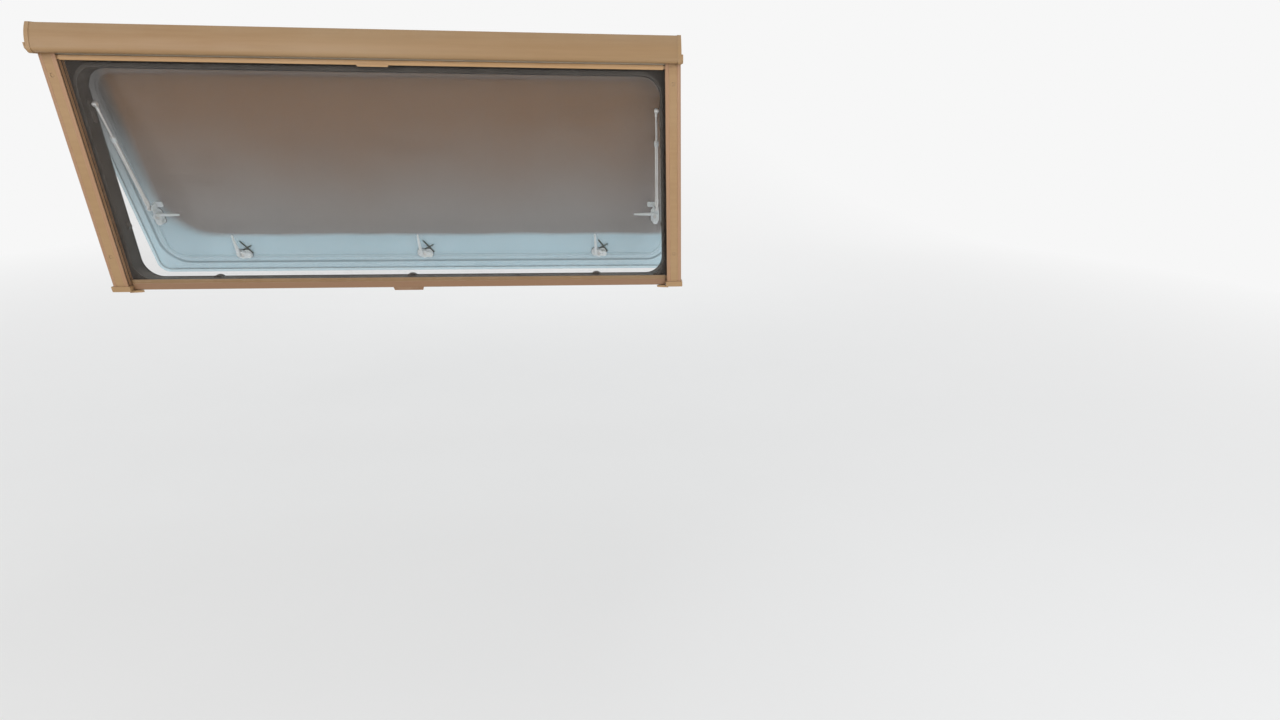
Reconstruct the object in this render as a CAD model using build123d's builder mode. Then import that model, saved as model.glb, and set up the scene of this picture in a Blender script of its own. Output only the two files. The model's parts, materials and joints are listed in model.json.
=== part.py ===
"""Side window of a motorhome: a top-hung double pane standing ajar on two telescopic stays,
with a cassette blind and a flyscreen in rails on the room side.

X runs along the wall, Y out of the vehicle, Z up. Y = 0 is the wall's inner face, and the
origin is the centre of the four screws through the side rails. Sizes are in millimetres."""
import math
import os

from build123d import *

os.makedirs("parts", exist_ok=True)

# Room side: cassette, rails and bars
HALF = 740.0
CASSETTE_TOP = 318.0
CASSETTE_LOW = 256.0
CASSETTE_WALL = 2.5
END_THICK = 9.0
RAIL_IN = 701.0
RAIL_DEEP = 26.0
RAIL_LOW = -286.0
FOOT_LOW = -300.0
BLACKOUT_LOW = 242.0
BLACKOUT_TOP = 253.0
SCREEN_LOW = -298.0
SCREEN_TOP = -271.5
GROOVE_OUT = 715.0
GROOVE_WIDE = 3.5
BLACKOUT_Y = -21.0
SCREEN_Y = -9.0
BAR_HALF = 696.0
TONGUE_OUT = 712.0
SCREW_X = 721.0
SCREW_Z = 210.0
SCREW_R = 2.25

# The opening through the wall, and the frame around it
OPEN_HALF = 690.0
OPEN_LOW = -275.0
OPEN_TOP = 228.0
OPEN_R = 48.0
OPEN_WIDE = 2 * OPEN_HALF
OPEN_TALL = OPEN_TOP - OPEN_LOW
OPEN_MID = (OPEN_TOP + OPEN_LOW) / 2
WALL_OUT = 32.0
FLANGE_OUT = 38.0
FLANGE_HALF = 738.0
FLANGE_LOW = -306.0
FLANGE_TOP = 298.0

# The pane, drawn closed and then turned to the angle in the photograph
HINGE_Y = 50.0
HINGE_Z = 274.0
BEAD_R = 4.0
AJAR = 14.0
HINGE_HALF = 734.0
PANE_HALF = 745.0
PANE_LOW = -316.5
PANE_TOP = 262.0
PANE_R = 28.0
INNER_IN = 10.0
DISH_HALF = 696.0
DISH_LOW = -268.0
DISH_TOP = 218.0
DISH_Y = 45.0
BORDER_Y = 53.0
SHEET = 3.0
PANE_OUT = 59.0

# Stays: the pins' places, with the pane closed
STAY_X = 679.0
ANCHOR_Y = 27.0
ANCHOR_Z = 147.0
EYE_Y = 25.0
EYE_Z = -116.0
ROD_LONG = 200.0
TUBE_START = 79.0

# Catches: name, X and Z of the lever's root, turn about Y that points the lever inward, and
# the hand, which says on which side of the lever the hub is
CATCHES = (
    ("left", -673.5, -135.0, -90.0, 1),
    ("right", 673.5, -135.0, 90.0, -1),
    ("low_left", -500.0, -254.5, 0.0, 1),
    ("low_mid", 0.0, -254.5, 0.0, 1),
    ("low_right", 500.0, -254.5, 0.0, 1),
)
SIDES = (("left", -1), ("right", 1))

ajar_cos = math.cos(math.radians(AJAR))
ajar_sin = math.sin(math.radians(AJAR))


def turned(x, y, z):
    """A point of the closed pane, carried to where it is with the pane ajar."""
    out, up = y - HINGE_Y, z - HINGE_Z
    return (x, HINGE_Y + out * ajar_cos - up * ajar_sin, HINGE_Z + up * ajar_cos + out * ajar_sin)


eye_x, eye_y, eye_z = turned(STAY_X, EYE_Y, EYE_Z)
stay_long = math.hypot(eye_y - ANCHOR_Y, eye_z - ANCHOR_Z)
stay_way = ((eye_y - ANCHOR_Y) / stay_long, (eye_z - ANCHOR_Z) / stay_long)


def front_plane(y):
    """Sketch plane at depth y: local X and Y are the row's X and Z, and it faces the room."""
    return Plane.XZ.offset(-y)


def pane_front(y):
    """As front_plane, on the ajar pane: local X and Y are X and Z of the closed pane."""
    return Plane(turned(0, y, 0), x_dir=(1, 0, 0), z_dir=(0, -ajar_cos, -ajar_sin))


def pane_side(x):
    """Plane across the ajar pane: local X and Y are Y and Z of the closed pane."""
    return Plane(turned(x, 0, 0), x_dir=(0, ajar_cos, ajar_sin), z_dir=(1, 0, 0))


def catch_plane(x, y, z, turn):
    """Plane parallel to the ajar pane at a catch's pivot, turned about its own normal."""
    cos, sin = math.cos(math.radians(turn)), math.sin(math.radians(turn))
    return Plane(
        turned(x, y, z), x_dir=(cos, -sin * ajar_sin, sin * ajar_cos),
        z_dir=(0, -ajar_cos, -ajar_sin))


def stay_plane(side, along):
    """Sketch plane across a stay, at a distance along it from the frame's pin."""
    point = (side * STAY_X, ANCHOR_Y + stay_way[0] * along, ANCHOR_Z + stay_way[1] * along)
    return Plane(point, x_dir=(1, 0, 0), z_dir=(0, stay_way[0], stay_way[1]))


# Outer frame: a flange on the wall's outer face and a sleeve through the wall
with BuildPart() as outer_frame:
    with BuildSketch(front_plane(FLANGE_OUT)):
        with Locations((0, (FLANGE_TOP + FLANGE_LOW) / 2)):
            RectangleRounded(2 * FLANGE_HALF, FLANGE_TOP - FLANGE_LOW, 44)
    extrude(amount=FLANGE_OUT - WALL_OUT)
    fillet(outer_frame.faces().sort_by(Axis.Y)[-1].outer_wire().edges(), 2.5)
    with BuildSketch(front_plane(WALL_OUT)):
        with Locations((0, OPEN_MID)):
            RectangleRounded(OPEN_WIDE + 16, OPEN_TALL + 16, OPEN_R + 8)
    extrude(amount=WALL_OUT - 14)
    with BuildSketch(front_plane(FLANGE_OUT + 1)):
        with Locations((0, OPEN_MID)):
            RectangleRounded(OPEN_WIDE, OPEN_TALL, OPEN_R)
    extrude(amount=FLANGE_OUT, mode=Mode.SUBTRACT)
outer_frame.part.label = "outer_frame"
export_step(outer_frame.part, "parts/outer_frame.step")

# Inner clamp ring: the dark lip seen around the opening from the room
with BuildPart() as clamp_ring:
    with BuildSketch(front_plane(0)):
        with Locations((0, OPEN_MID)):
            RectangleRounded(OPEN_WIDE + 10, OPEN_TALL + 20, OPEN_R + 7)
    extrude(amount=2.5)
    with BuildSketch(front_plane(14)):
        with Locations((0, OPEN_MID)):
            RectangleRounded(OPEN_WIDE + 8, OPEN_TALL + 8, OPEN_R + 4)
    extrude(amount=14)
    with BuildSketch(front_plane(15)):
        with Locations((0, OPEN_MID)):
            RectangleRounded(OPEN_WIDE, OPEN_TALL, OPEN_R)
    extrude(amount=20, mode=Mode.SUBTRACT)
    fillet(clamp_ring.faces().sort_by(Axis.Y)[0].inner_wires()[0].edges(), 1.2)
clamp_ring.part.label = "clamp_ring"
export_step(clamp_ring.part, "parts/clamp_ring.step")

# Weather seal: a bulb on the flange, facing the pane, and a low lip along the opening's edge
with BuildPart() as weather_seal:
    with BuildSketch(front_plane(FLANGE_OUT + 9)):
        with Locations((0, OPEN_MID)):
            RectangleRounded(OPEN_WIDE + 32, OPEN_TALL + 32, OPEN_R + 16)
            RectangleRounded(OPEN_WIDE + 16, OPEN_TALL + 16, OPEN_R + 8, mode=Mode.SUBTRACT)
    extrude(amount=9)
    seal_front = weather_seal.faces().sort_by(Axis.Y)[-1]
    fillet(seal_front.outer_wire().edges() + seal_front.inner_wires()[0].edges(), 3.5)
    with BuildSketch(front_plane(FLANGE_OUT + 2.5)):
        with Locations((0, OPEN_MID)):
            RectangleRounded(OPEN_WIDE + 20, OPEN_TALL + 20, OPEN_R + 10)
            RectangleRounded(OPEN_WIDE - 2, OPEN_TALL - 2, OPEN_R - 1, mode=Mode.SUBTRACT)
    extrude(amount=2.5)
weather_seal.part.label = "weather_seal"
export_step(weather_seal.part, "parts/weather_seal.step")

# Hinge rail: a socket that holds the pane's bead and is open below, where the leaf swings
with BuildPart() as hinge_rail:
    with BuildSketch(Plane.YZ.offset(-HINGE_HALF)):
        with BuildLine():
            Polyline(
                (FLANGE_OUT, FLANGE_TOP - 8), (FLANGE_OUT, HINGE_Z - 6),
                (HINGE_Y - 4, HINGE_Z - 6), (HINGE_Y, HINGE_Z),
                (HINGE_Y + 8, HINGE_Z), (HINGE_Y + 2, FLANGE_TOP - 9),
                (HINGE_Y - 4, FLANGE_TOP - 8), close=True)
        make_face()
        with Locations((HINGE_Y, HINGE_Z)):
            Circle(8)
            Circle(BEAD_R + 0.3, mode=Mode.SUBTRACT)
        with BuildLine():
            Polyline(
                (HINGE_Y, HINGE_Z), (HINGE_Y - 5.5, HINGE_Z - 13),
                (HINGE_Y + 13, HINGE_Z - 13), (HINGE_Y + 13, HINGE_Z - 3.5), close=True)
        make_face(mode=Mode.SUBTRACT)
    extrude(amount=2 * HINGE_HALF)
hinge_rail.part.label = "hinge_rail"
export_step(hinge_rail.part, "parts/hinge_rail.step")

# Caps on the ends of the hinge rail
for side_name, side in SIDES:
    with BuildPart() as hinge_cap:
        with BuildSketch(Plane.YZ.offset(side * HINGE_HALF)):
            with BuildLine():
                Polyline(
                    (FLANGE_OUT, FLANGE_TOP - 7), (FLANGE_OUT, HINGE_Z - 10),
                    (HINGE_Y, HINGE_Z - 10), (HINGE_Y + 9, HINGE_Z - 2),
                    (HINGE_Y + 9, HINGE_Z + 4), (HINGE_Y + 3, FLANGE_TOP - 7), close=True)
            make_face()
        extrude(amount=side * 4)
        fillet(hinge_cap.faces().sort_by(Axis.X)[::side][-1].edges(), 1.5)
    hinge_cap.part.label = "hinge_cap_" + side_name
    export_step(hinge_cap.part, "parts/hinge_cap_" + side_name + ".step")

# Blind cassette: a hollow extrusion with a leaning, bulging front, open below for the fabrics
with BuildPart() as blind_cassette:
    with BuildSketch(Plane.YZ.offset(END_THICK - HALF)) as cassette_section:
        with BuildLine():
            Polyline(
                (-52, 267), (-52, CASSETTE_LOW), (0, CASSETTE_LOW), (0, CASSETTE_TOP),
                (-29, CASSETTE_TOP))
            ThreePointArc((-29, CASSETTE_TOP), (-44.5, 293), (-52, 267))
        make_face()
        low_corner = cassette_section.vertices().group_by(Axis.Y)[0].sort_by(Axis.X)[0]
        fillet(low_corner, 8)
        top_corner = cassette_section.vertices().group_by(Axis.Y)[-1].sort_by(Axis.X)[0]
        fillet(top_corner, 3)
        offset(amount=-CASSETTE_WALL, mode=Mode.SUBTRACT)
        with Locations(((BLACKOUT_Y + SCREEN_Y) / 2, CASSETTE_LOW)):
            Rectangle(18, 4 * CASSETTE_WALL, mode=Mode.SUBTRACT)
    extrude(amount=2 * (HALF - END_THICK))
blind_cassette.part.label = "blind_cassette"
export_step(blind_cassette.part, "parts/blind_cassette.step")

# Cassette ends: a cap a little prouder than the cassette, a wider foot, and two sockets
ROLLERS = (
    ("blackout_roller", -33.0, 280.0, 11.7),
    ("screen_roller", -18.0, 302.0, 8.8),
)
for side_name, side in SIDES:
    with BuildPart() as cassette_end:
        with BuildSketch(Plane.YZ.offset(side * HALF)) as end_section:
            with BuildLine():
                Polyline(
                    (-53, 267), (-53, CASSETTE_LOW - 2), (-RAIL_DEEP - 1, CASSETTE_LOW - 2),
                    (-RAIL_DEEP - 1, CASSETTE_LOW), (0, CASSETTE_LOW), (0, CASSETTE_TOP + 1),
                    (-29.5, CASSETTE_TOP + 1))
                ThreePointArc((-29.5, CASSETTE_TOP + 1), (-45.4, 293.4), (-53, 267))
            make_face()
            low_corner = end_section.vertices().group_by(Axis.Y)[0].sort_by(Axis.X)[0]
            fillet(low_corner, 8)
        extrude(amount=-side * END_THICK)
        with BuildSketch(Plane.YZ.offset(side * HALF)):
            with BuildLine():
                Polyline(
                    (-53, 276), (-53, 264), (-45, CASSETTE_LOW), (-2, CASSETTE_LOW), (-2, 276),
                    close=True)
            make_face()
        extrude(amount=side * 4)
        fillet(cassette_end.faces().sort_by(Axis.X)[::side][-1].edges(), 1.5)
        with BuildSketch(Plane.YZ.offset(side * (HALF - END_THICK))):
            for roller_name, roller_y, roller_z, roller_r in ROLLERS:
                with Locations((roller_y, roller_z)):
                    Circle(6)
        extrude(amount=-side * 5)
        with BuildSketch(Plane.YZ.offset(side * (HALF - 14))):
            for roller_name, roller_y, roller_z, roller_r in ROLLERS:
                with Locations((roller_y, roller_z)):
                    Circle(3.3)
        extrude(amount=side * 8, mode=Mode.SUBTRACT)
    cassette_end.part.label = "cassette_end_" + side_name
    export_step(cassette_end.part, "parts/cassette_end_" + side_name + ".step")

# Rollers: a tube with a seam groove and a pin at each end
for roller_name, roller_y, roller_z, roller_r in ROLLERS:
    with BuildPart() as roller:
        with BuildSketch(Plane.YZ.offset(-718)):
            with Locations((roller_y, roller_z)):
                Circle(roller_r)
            with Locations((roller_y, roller_z + roller_r)):
                Rectangle(2.4, 3, mode=Mode.SUBTRACT)
        extrude(amount=1436)
        with BuildSketch(Plane.YZ.offset(-733)):
            with Locations((roller_y, roller_z)):
                Circle(3)
        extrude(amount=1466)
    roller.part.label = roller_name
    export_step(roller.part, "parts/" + roller_name + ".step")

# Side rails: two grooves on the inner side, a sunk band in front, and two screw holes each
for side_name, side in SIDES:
    with BuildPart() as side_rail:
        with BuildSketch(Plane.XY.offset(RAIL_LOW)) as rail_section:
            with BuildLine():
                Polyline(
                    (side * RAIL_IN, 0), (side * HALF, 0), (side * HALF, -RAIL_DEEP),
                    (side * (HALF - 9), -RAIL_DEEP), (side * (HALF - 10), 1.2 - RAIL_DEEP),
                    (side * (RAIL_IN + 9), 1.2 - RAIL_DEEP), (side * (RAIL_IN + 8), -RAIL_DEEP),
                    (side * RAIL_IN, -RAIL_DEEP), close=True)
            make_face()
            front_corners = rail_section.vertices().group_by(Axis.Y)[0].sort_by(Axis.X)[::side]
            fillet(front_corners[-1:], 7)
            fillet(front_corners[:1], 2.5)
            with Locations(
                    (side * (RAIL_IN + GROOVE_OUT) / 2, BLACKOUT_Y),
                    (side * (RAIL_IN + GROOVE_OUT) / 2, SCREEN_Y)):
                Rectangle(GROOVE_OUT - RAIL_IN, GROOVE_WIDE, mode=Mode.SUBTRACT)
        extrude(amount=CASSETTE_LOW - RAIL_LOW)
        with Locations(front_plane(1.2 - RAIL_DEEP)):
            with Locations((side * SCREW_X, SCREW_Z), (side * SCREW_X, -SCREW_Z)):
                CounterBoreHole(SCREW_R, 4.6, 3)
    side_rail.part.label = "side_rail_" + side_name
    export_step(side_rail.part, "parts/side_rail_" + side_name + ".step")

# Foot caps under the rails, each with a tongue below the end of the flyscreen bar
for side_name, side in SIDES:
    with BuildPart() as rail_foot:
        with BuildSketch(Plane.XY.offset(RAIL_LOW)):
            with Locations((side * 720, -14.5)):
                RectangleRounded(46, 29, 3)
        extrude(amount=FOOT_LOW - RAIL_LOW)
        fillet(rail_foot.faces().sort_by(Axis.Z)[0].edges(), 2)
        with BuildSketch(Plane.XY.offset(FOOT_LOW - 3.5)):
            with BuildLine():
                Polyline(
                    (side * 704, -22), (side * 677, -17), (side * 673, -13), (side * 677, -9),
                    (side * 704, -6), close=True)
            make_face()
        extrude(amount=5)
    rail_foot.part.label = "rail_foot_" + side_name
    export_step(rail_foot.part, "parts/rail_foot_" + side_name + ".step")

# Bottom rail: the strip on the wall that ties the rails, behind the lowered flyscreen bar
with BuildPart() as bottom_rail:
    with BuildSketch(front_plane(0)):
        with Locations((0, -291.5)):
            Rectangle(2 * 697, 13)
        with Locations((0, -291.5)):
            SlotOverall(1300, 3, mode=Mode.SUBTRACT)
    extrude(amount=2.5)
bottom_rail.part.label = "bottom_rail"
export_step(bottom_rail.part, "parts/bottom_rail.step")

# Blackout bar: parked right below the cassette
with BuildPart() as blackout_bar:
    with BuildSketch(Plane.YZ.offset(-BAR_HALF)) as blackout_section:
        with Locations((BLACKOUT_Y, (BLACKOUT_TOP + BLACKOUT_LOW) / 2)):
            RectangleRounded(6, BLACKOUT_TOP - BLACKOUT_LOW, 2.2)
        with Locations((BLACKOUT_Y - 3, BLACKOUT_TOP - 3.4)):
            Rectangle(1.2, 1.6, mode=Mode.SUBTRACT)
    extrude(amount=2 * BAR_HALF)
    with BuildSketch(front_plane(BLACKOUT_Y + 1)):
        with Locations((0, (BLACKOUT_TOP + BLACKOUT_LOW) / 2)):
            Rectangle(2 * TONGUE_OUT, 7)
    extrude(amount=2)
    with BuildSketch(front_plane(BLACKOUT_Y + 1)):
        with BuildLine():
            Polyline((-37, 243), (-35, 238.5), (35, 238.5), (37, 243), close=True)
        make_face()
    extrude(amount=4.4)
    with BuildSketch(front_plane(BLACKOUT_Y - 2.9)):
        with Locations((0, 243)):
            Rectangle(68, 1.4)
    extrude(amount=1.5)
blackout_bar.part.label = "blackout_bar"
export_step(blackout_bar.part, "parts/blackout_bar.step")

# Flyscreen bar: at the foot of the rails, stepped in two tones, with a finger tab below it
SCREEN_STEP = -281.0
with BuildPart() as screen_bar:
    with BuildSketch(Plane.YZ.offset(-BAR_HALF)):
        with Locations((SCREEN_Y, (SCREEN_TOP + SCREEN_LOW) / 2)):
            RectangleRounded(5, SCREEN_TOP - SCREEN_LOW, 1.6)
        with Locations((SCREEN_Y - 2.4, (SCREEN_STEP + SCREEN_LOW) / 2 + 0.4)):
            RectangleRounded(2.4, SCREEN_STEP - SCREEN_LOW - 0.8, 1)
        with Locations((SCREEN_Y - 2.5, SCREEN_TOP - 4)):
            Rectangle(0.8, 1.2, mode=Mode.SUBTRACT)
    extrude(amount=2 * BAR_HALF)
    with BuildSketch(front_plane(SCREEN_Y + 1)):
        with Locations((0, SCREEN_TOP - 7.5)):
            Rectangle(2 * TONGUE_OUT, 11)
    extrude(amount=2)
    with BuildSketch(front_plane(SCREEN_Y + 0.5)):
        with BuildLine():
            Polyline((-40, -296), (-37, -305.5), (37, -305.5), (40, -296), close=True)
        make_face()
    extrude(amount=4)
    with BuildSketch(front_plane(SCREEN_Y - 3)):
        with Locations((0, -302)):
            Rectangle(66, 1.6)
        with Locations((0, -299)):
            Rectangle(66, 1.6)
    extrude(amount=1)
screen_bar.part.label = "screen_bar"
export_step(screen_bar.part, "parts/screen_bar.step")

# Fabrics: the flyscreen drawn down, and the short end of the rolled blackout blind
FABRICS = (
    ("screen_fabric", SCREEN_Y, SCREEN_TOP, 262.0, 0.4),
    ("blackout_fabric", BLACKOUT_Y, BLACKOUT_TOP, 264.0, 0.6),
)
for fabric_name, fabric_y, fabric_low, fabric_top, fabric_thick in FABRICS:
    with BuildPart() as fabric:
        with BuildSketch(front_plane(fabric_y + fabric_thick / 2)):
            with Locations((0, (fabric_low + fabric_top) / 2)):
                Rectangle(2 * 707, fabric_top - fabric_low)
        extrude(amount=fabric_thick)
    fabric.part.label = fabric_name
    export_step(fabric.part, "parts/" + fabric_name + ".step")

# Keepers: five hooks on the frame's inner face that the catches' lobes turn behind, each with
# its plane, half length and height
KEEPERS = (
    ("left", Plane((-OPEN_HALF, 0, -141), x_dir=(0, 0, 1), z_dir=(0, 1, 0)), 9, 4),
    ("right", Plane((OPEN_HALF, 0, -141), x_dir=(0, 0, -1), z_dir=(0, 1, 0)), 9, 4),
    ("low_left", Plane((-500, 0, OPEN_LOW), x_dir=(-1, 0, 0), z_dir=(0, 1, 0)), 13, 6.5),
    ("low_mid", Plane((2, 0, OPEN_LOW), x_dir=(-1, 0, 0), z_dir=(0, 1, 0)), 13, 6.5),
    ("low_right", Plane((504, 0, OPEN_LOW), x_dir=(-1, 0, 0), z_dir=(0, 1, 0)), 13, 6.5),
)
for keeper_name, keeper_plane, keeper_half, keeper_high in KEEPERS:
    with BuildPart() as keeper:
        with BuildSketch(keeper_plane.offset(24)):
            with BuildLine():
                Polyline((keeper_half, 0), (-keeper_half, 0))
                ThreePointArc((-keeper_half, 0), (0, keeper_high), (keeper_half, 0))
            make_face()
        extrude(amount=14)
        with BuildSketch(keeper_plane.offset(24)):
            with Locations((0, keeper_high * 0.36)):
                Rectangle(keeper_half * 0.9, keeper_high * 0.36)
        extrude(amount=9, mode=Mode.SUBTRACT)
    keeper.part.label = "keeper_" + keeper_name
    export_step(keeper.part, "parts/keeper_" + keeper_name + ".step")

# Frame ends of the stays: a long plate on each side of the opening, behind the rod's eye
for side_name, side in SIDES:
    with BuildPart() as stay_anchor:
        with BuildSketch(Plane.YZ.offset(side * OPEN_HALF)):
            with Locations((ANCHOR_Y - 2, ANCHOR_Z - 16)):
                RectangleRounded(17, 50, 6)
        extrude(amount=-side * 3)
        fillet(stay_anchor.faces().sort_by(Axis.X)[::side][0].edges(), 1)
    stay_anchor.part.label = "stay_anchor_" + side_name
    export_step(stay_anchor.part, "parts/stay_anchor_" + side_name + ".step")

# Stay rods: a thin rod that goes into the tube, and an eye with its own washer and headed pin
for side_name, side in SIDES:
    with BuildPart() as stay_rod:
        with BuildSketch(stay_plane(side, 3)):
            Circle(2.6)
        extrude(amount=ROD_LONG - 3)
        with BuildSketch(stay_plane(side, 4)):
            Circle(3.8)
        extrude(amount=11)
        for start, long, radius in ((3, -6, 6.5), (5.2, -3, 4.8), (7.4, -12, 2.6), (-2.9, -2, 4.6)):
            with BuildSketch(Plane.YZ.offset(side * (STAY_X + start))):
                with Locations((ANCHOR_Y, ANCHOR_Z)):
                    Circle(radius)
            extrude(amount=side * long)
    stay_rod.part.label = "stay_rod_" + side_name
    export_step(stay_rod.part, "parts/stay_rod_" + side_name + ".step")

# Stay tubes: they slide over the rods, and turn on the pane's pins; a locking collar on top
for side_name, side in SIDES:
    with BuildPart() as stay_tube:
        with BuildSketch(stay_plane(side, TUBE_START)):
            Circle(4.3)
        extrude(amount=stay_long - TUBE_START - 5)
        with BuildSketch(stay_plane(side, TUBE_START)):
            Circle(5.4)
        extrude(amount=15)
        fillet(stay_tube.edges().filter_by(GeomType.CIRCLE).group_by(SortBy.RADIUS)[-1], 0.8)
        with BuildSketch(stay_plane(side, stay_long - 27)):
            Circle(5.2)
        extrude(amount=14)
        with BuildSketch(Plane.YZ.offset(side * STAY_X - 3.2)):
            with Locations((eye_y, eye_z)):
                Circle(6.5)
        extrude(amount=6.4)
        with BuildSketch(stay_plane(side, TUBE_START - 1)):
            Circle(3.1)
        extrude(amount=stay_long - TUBE_START - 24, mode=Mode.SUBTRACT)
        with BuildSketch(Plane.YZ.offset(side * STAY_X - 7)):
            with Locations((eye_y, eye_z)):
                Circle(2.8)
        extrude(amount=14, mode=Mode.SUBTRACT)
    stay_tube.part.label = "stay_tube_" + side_name
    export_step(stay_tube.part, "parts/stay_tube_" + side_name + ".step")

# Outer sheet of the pane
PANE_MID = (PANE_TOP + PANE_LOW) / 2
PANE_TALL = PANE_TOP - PANE_LOW
with BuildPart() as outer_sheet:
    with BuildSketch(pane_front(PANE_OUT)):
        with Locations((0, PANE_MID)):
            RectangleRounded(2 * PANE_HALF, PANE_TALL, PANE_R)
    extrude(amount=SHEET)
    fillet(outer_sheet.faces().sort_by(Axis.Y)[-1].edges(), 1.2)
outer_sheet.part.label = "outer_sheet"
export_step(outer_sheet.part, "parts/outer_sheet.step")

# Inner sheet: formed into a shallow dish inside a flat border with a raised line around it
DISH_MID = (DISH_TOP + DISH_LOW) / 2
DISH_TALL = DISH_TOP - DISH_LOW
INNER_TOP = PANE_TOP - 3
INNER_LOW = PANE_LOW + INNER_IN
with BuildPart() as inner_sheet:
    with BuildSketch(pane_front(BORDER_Y + SHEET)):
        with Locations((0, (INNER_TOP + INNER_LOW) / 2)):
            RectangleRounded(2 * (PANE_HALF - INNER_IN), INNER_TOP - INNER_LOW, PANE_R - 6)
    extrude(amount=SHEET)
    with BuildSketch(pane_front(BORDER_Y)):
        with Locations((0, DISH_MID)):
            RectangleRounded(2 * DISH_HALF + 36, DISH_TALL + 36, 60)
            RectangleRounded(2 * DISH_HALF + 30, DISH_TALL + 30, 57, mode=Mode.SUBTRACT)
    extrude(amount=1.4)
    with BuildSketch(pane_front(BORDER_Y)):
        with Locations((0, DISH_MID)):
            RectangleRounded(2 * DISH_HALF, DISH_TALL, 46)
    extrude(amount=BORDER_Y - DISH_Y, taper=12)
    with BuildSketch(pane_front(BORDER_Y + SHEET + 1)):
        with Locations((0, DISH_MID)):
            RectangleRounded(2 * DISH_HALF - 8, DISH_TALL - 8, 42)
    extrude(amount=BORDER_Y - DISH_Y + 1, taper=12, mode=Mode.SUBTRACT)
inner_sheet.part.label = "inner_sheet"
export_step(inner_sheet.part, "parts/inner_sheet.step")

# Hinge leaf: a strip on the pane's top border, a neck and the bead that turns in the rail
with BuildPart() as hinge_leaf:
    with BuildSketch(pane_side(6 - HINGE_HALF)):
        with BuildLine():
            Polyline(
                (BORDER_Y, 248), (BORDER_Y, 263), (HINGE_Y + 1.2, 267), (HINGE_Y + 1.2, HINGE_Z),
                (HINGE_Y - 1.2, HINGE_Z), (HINGE_Y - 1.2, 264), (HINGE_Y - 0.6, 262),
                (HINGE_Y - 0.6, 248), close=True)
        make_face()
        with Locations((HINGE_Y, HINGE_Z)):
            Circle(BEAD_R)
    extrude(amount=2 * HINGE_HALF - 12)
hinge_leaf.part.label = "hinge_leaf"
export_step(hinge_leaf.part, "parts/hinge_leaf.step")

# Pane ends of the stays: an ear on the dish with the headed pin that the tube's eye turns on
for side_name, side in SIDES:
    with BuildPart() as stay_ear:
        with BuildSketch(pane_front(DISH_Y)):
            with Locations((side * 664, EYE_Z + 5)):
                RectangleRounded(22, 14, 4)
        extrude(amount=3)
        with BuildSketch(pane_side(side * (STAY_X - 6.2))):
            with Locations((EYE_Y, EYE_Z)):
                Circle(7.5)
            with Locations(((EYE_Y + DISH_Y - 1) / 2, EYE_Z + 3)):
                Rectangle(DISH_Y - 1 - EYE_Y, 13)
        extrude(amount=-side * 4.5)
        for start, long, radius in ((-4.6, -2, 4.5), (4.6, -10, 2.5), (5.6, -1.8, 4.4)):
            with BuildSketch(pane_side(side * (STAY_X + start))):
                with Locations((EYE_Y, EYE_Z)):
                    Circle(radius)
            extrude(amount=side * long)
    stay_ear.part.label = "stay_ear_" + side_name
    export_step(stay_ear.part, "parts/stay_ear_" + side_name + ".step")

# Catches: a base on the dish with a hub beside the lever, and a lever with its ring, lobe and pin
for catch_name, catch_x, catch_z, catch_turn, hand in CATCHES:
    catch_foot = catch_plane(catch_x, DISH_Y, catch_z, catch_turn)
    with BuildPart() as catch_base:
        with BuildSketch(catch_foot):
            with Locations((hand * 8, -1)):
                RectangleRounded(43, 24, 10)
        extrude(amount=4)
        fillet(catch_base.faces().sort_by(Axis.Y)[0].edges(), 1.5)
        with BuildSketch(catch_foot):
            with Locations((hand * 8, 0)):
                Circle(11)
        extrude(amount=9, taper=8)
        with BuildSketch(catch_foot.offset(2)):
            with Locations((hand * 8, 0)):
                Circle(4.2)
        extrude(amount=10, mode=Mode.SUBTRACT)
    catch_base.part.label = "catch_base_" + catch_name
    export_step(catch_base.part, "parts/catch_base_" + catch_name + ".step")
    lever_way = catch_foot.y_dir
    lever_root = Plane(catch_foot.from_local_coords((0, 1, 0)), catch_foot.x_dir, lever_way)
    lever_tip = Plane(catch_foot.from_local_coords((0, 59.5, 0)), catch_foot.x_dir, lever_way)
    with BuildPart() as catch_lever:
        with BuildSketch(catch_foot.offset(9.4)):
            with Locations((hand * 8, 0)):
                Circle(10.5)
        extrude(amount=6)
        fillet(catch_lever.faces().sort_by(Axis.Y)[0].edges(), 1.5)
        with BuildSketch(catch_foot.offset(15.4)):
            with Locations((hand * 8, 0)):
                Circle(5)
        extrude(amount=-2.4, mode=Mode.SUBTRACT)
        with BuildSketch(lever_root):
            with Locations((0, -14.5)):
                RectangleRounded(9, 10, 2.5)
        with BuildSketch(lever_tip):
            with Locations((0, -15)):
                RectangleRounded(4.5, 5, 1.6)
        loft()
        with BuildSketch(catch_foot.offset(9.4)):
            with Locations((hand * 20, -2)):
                RectangleRounded(21, 15, 7)
        extrude(amount=4)
        with BuildSketch(catch_foot.offset(3)):
            with Locations((hand * 8, 0)):
                Circle(4)
        extrude(amount=6.6)
    catch_lever.part.label = "catch_lever_" + catch_name
    export_step(catch_lever.part, "parts/catch_lever_" + catch_name + ".step")
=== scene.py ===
"""Looks of a motorhome's side window: finishes for the frame's parts, the two fabrics and the
small fixings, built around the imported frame. Laid out as an add-on and run as a script."""
import json
import math

import bmesh
import bpy
from bpy.props import FloatProperty, FloatVectorProperty, PointerProperty
from mathutils import Matrix, Vector, noise as solid_noise


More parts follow.
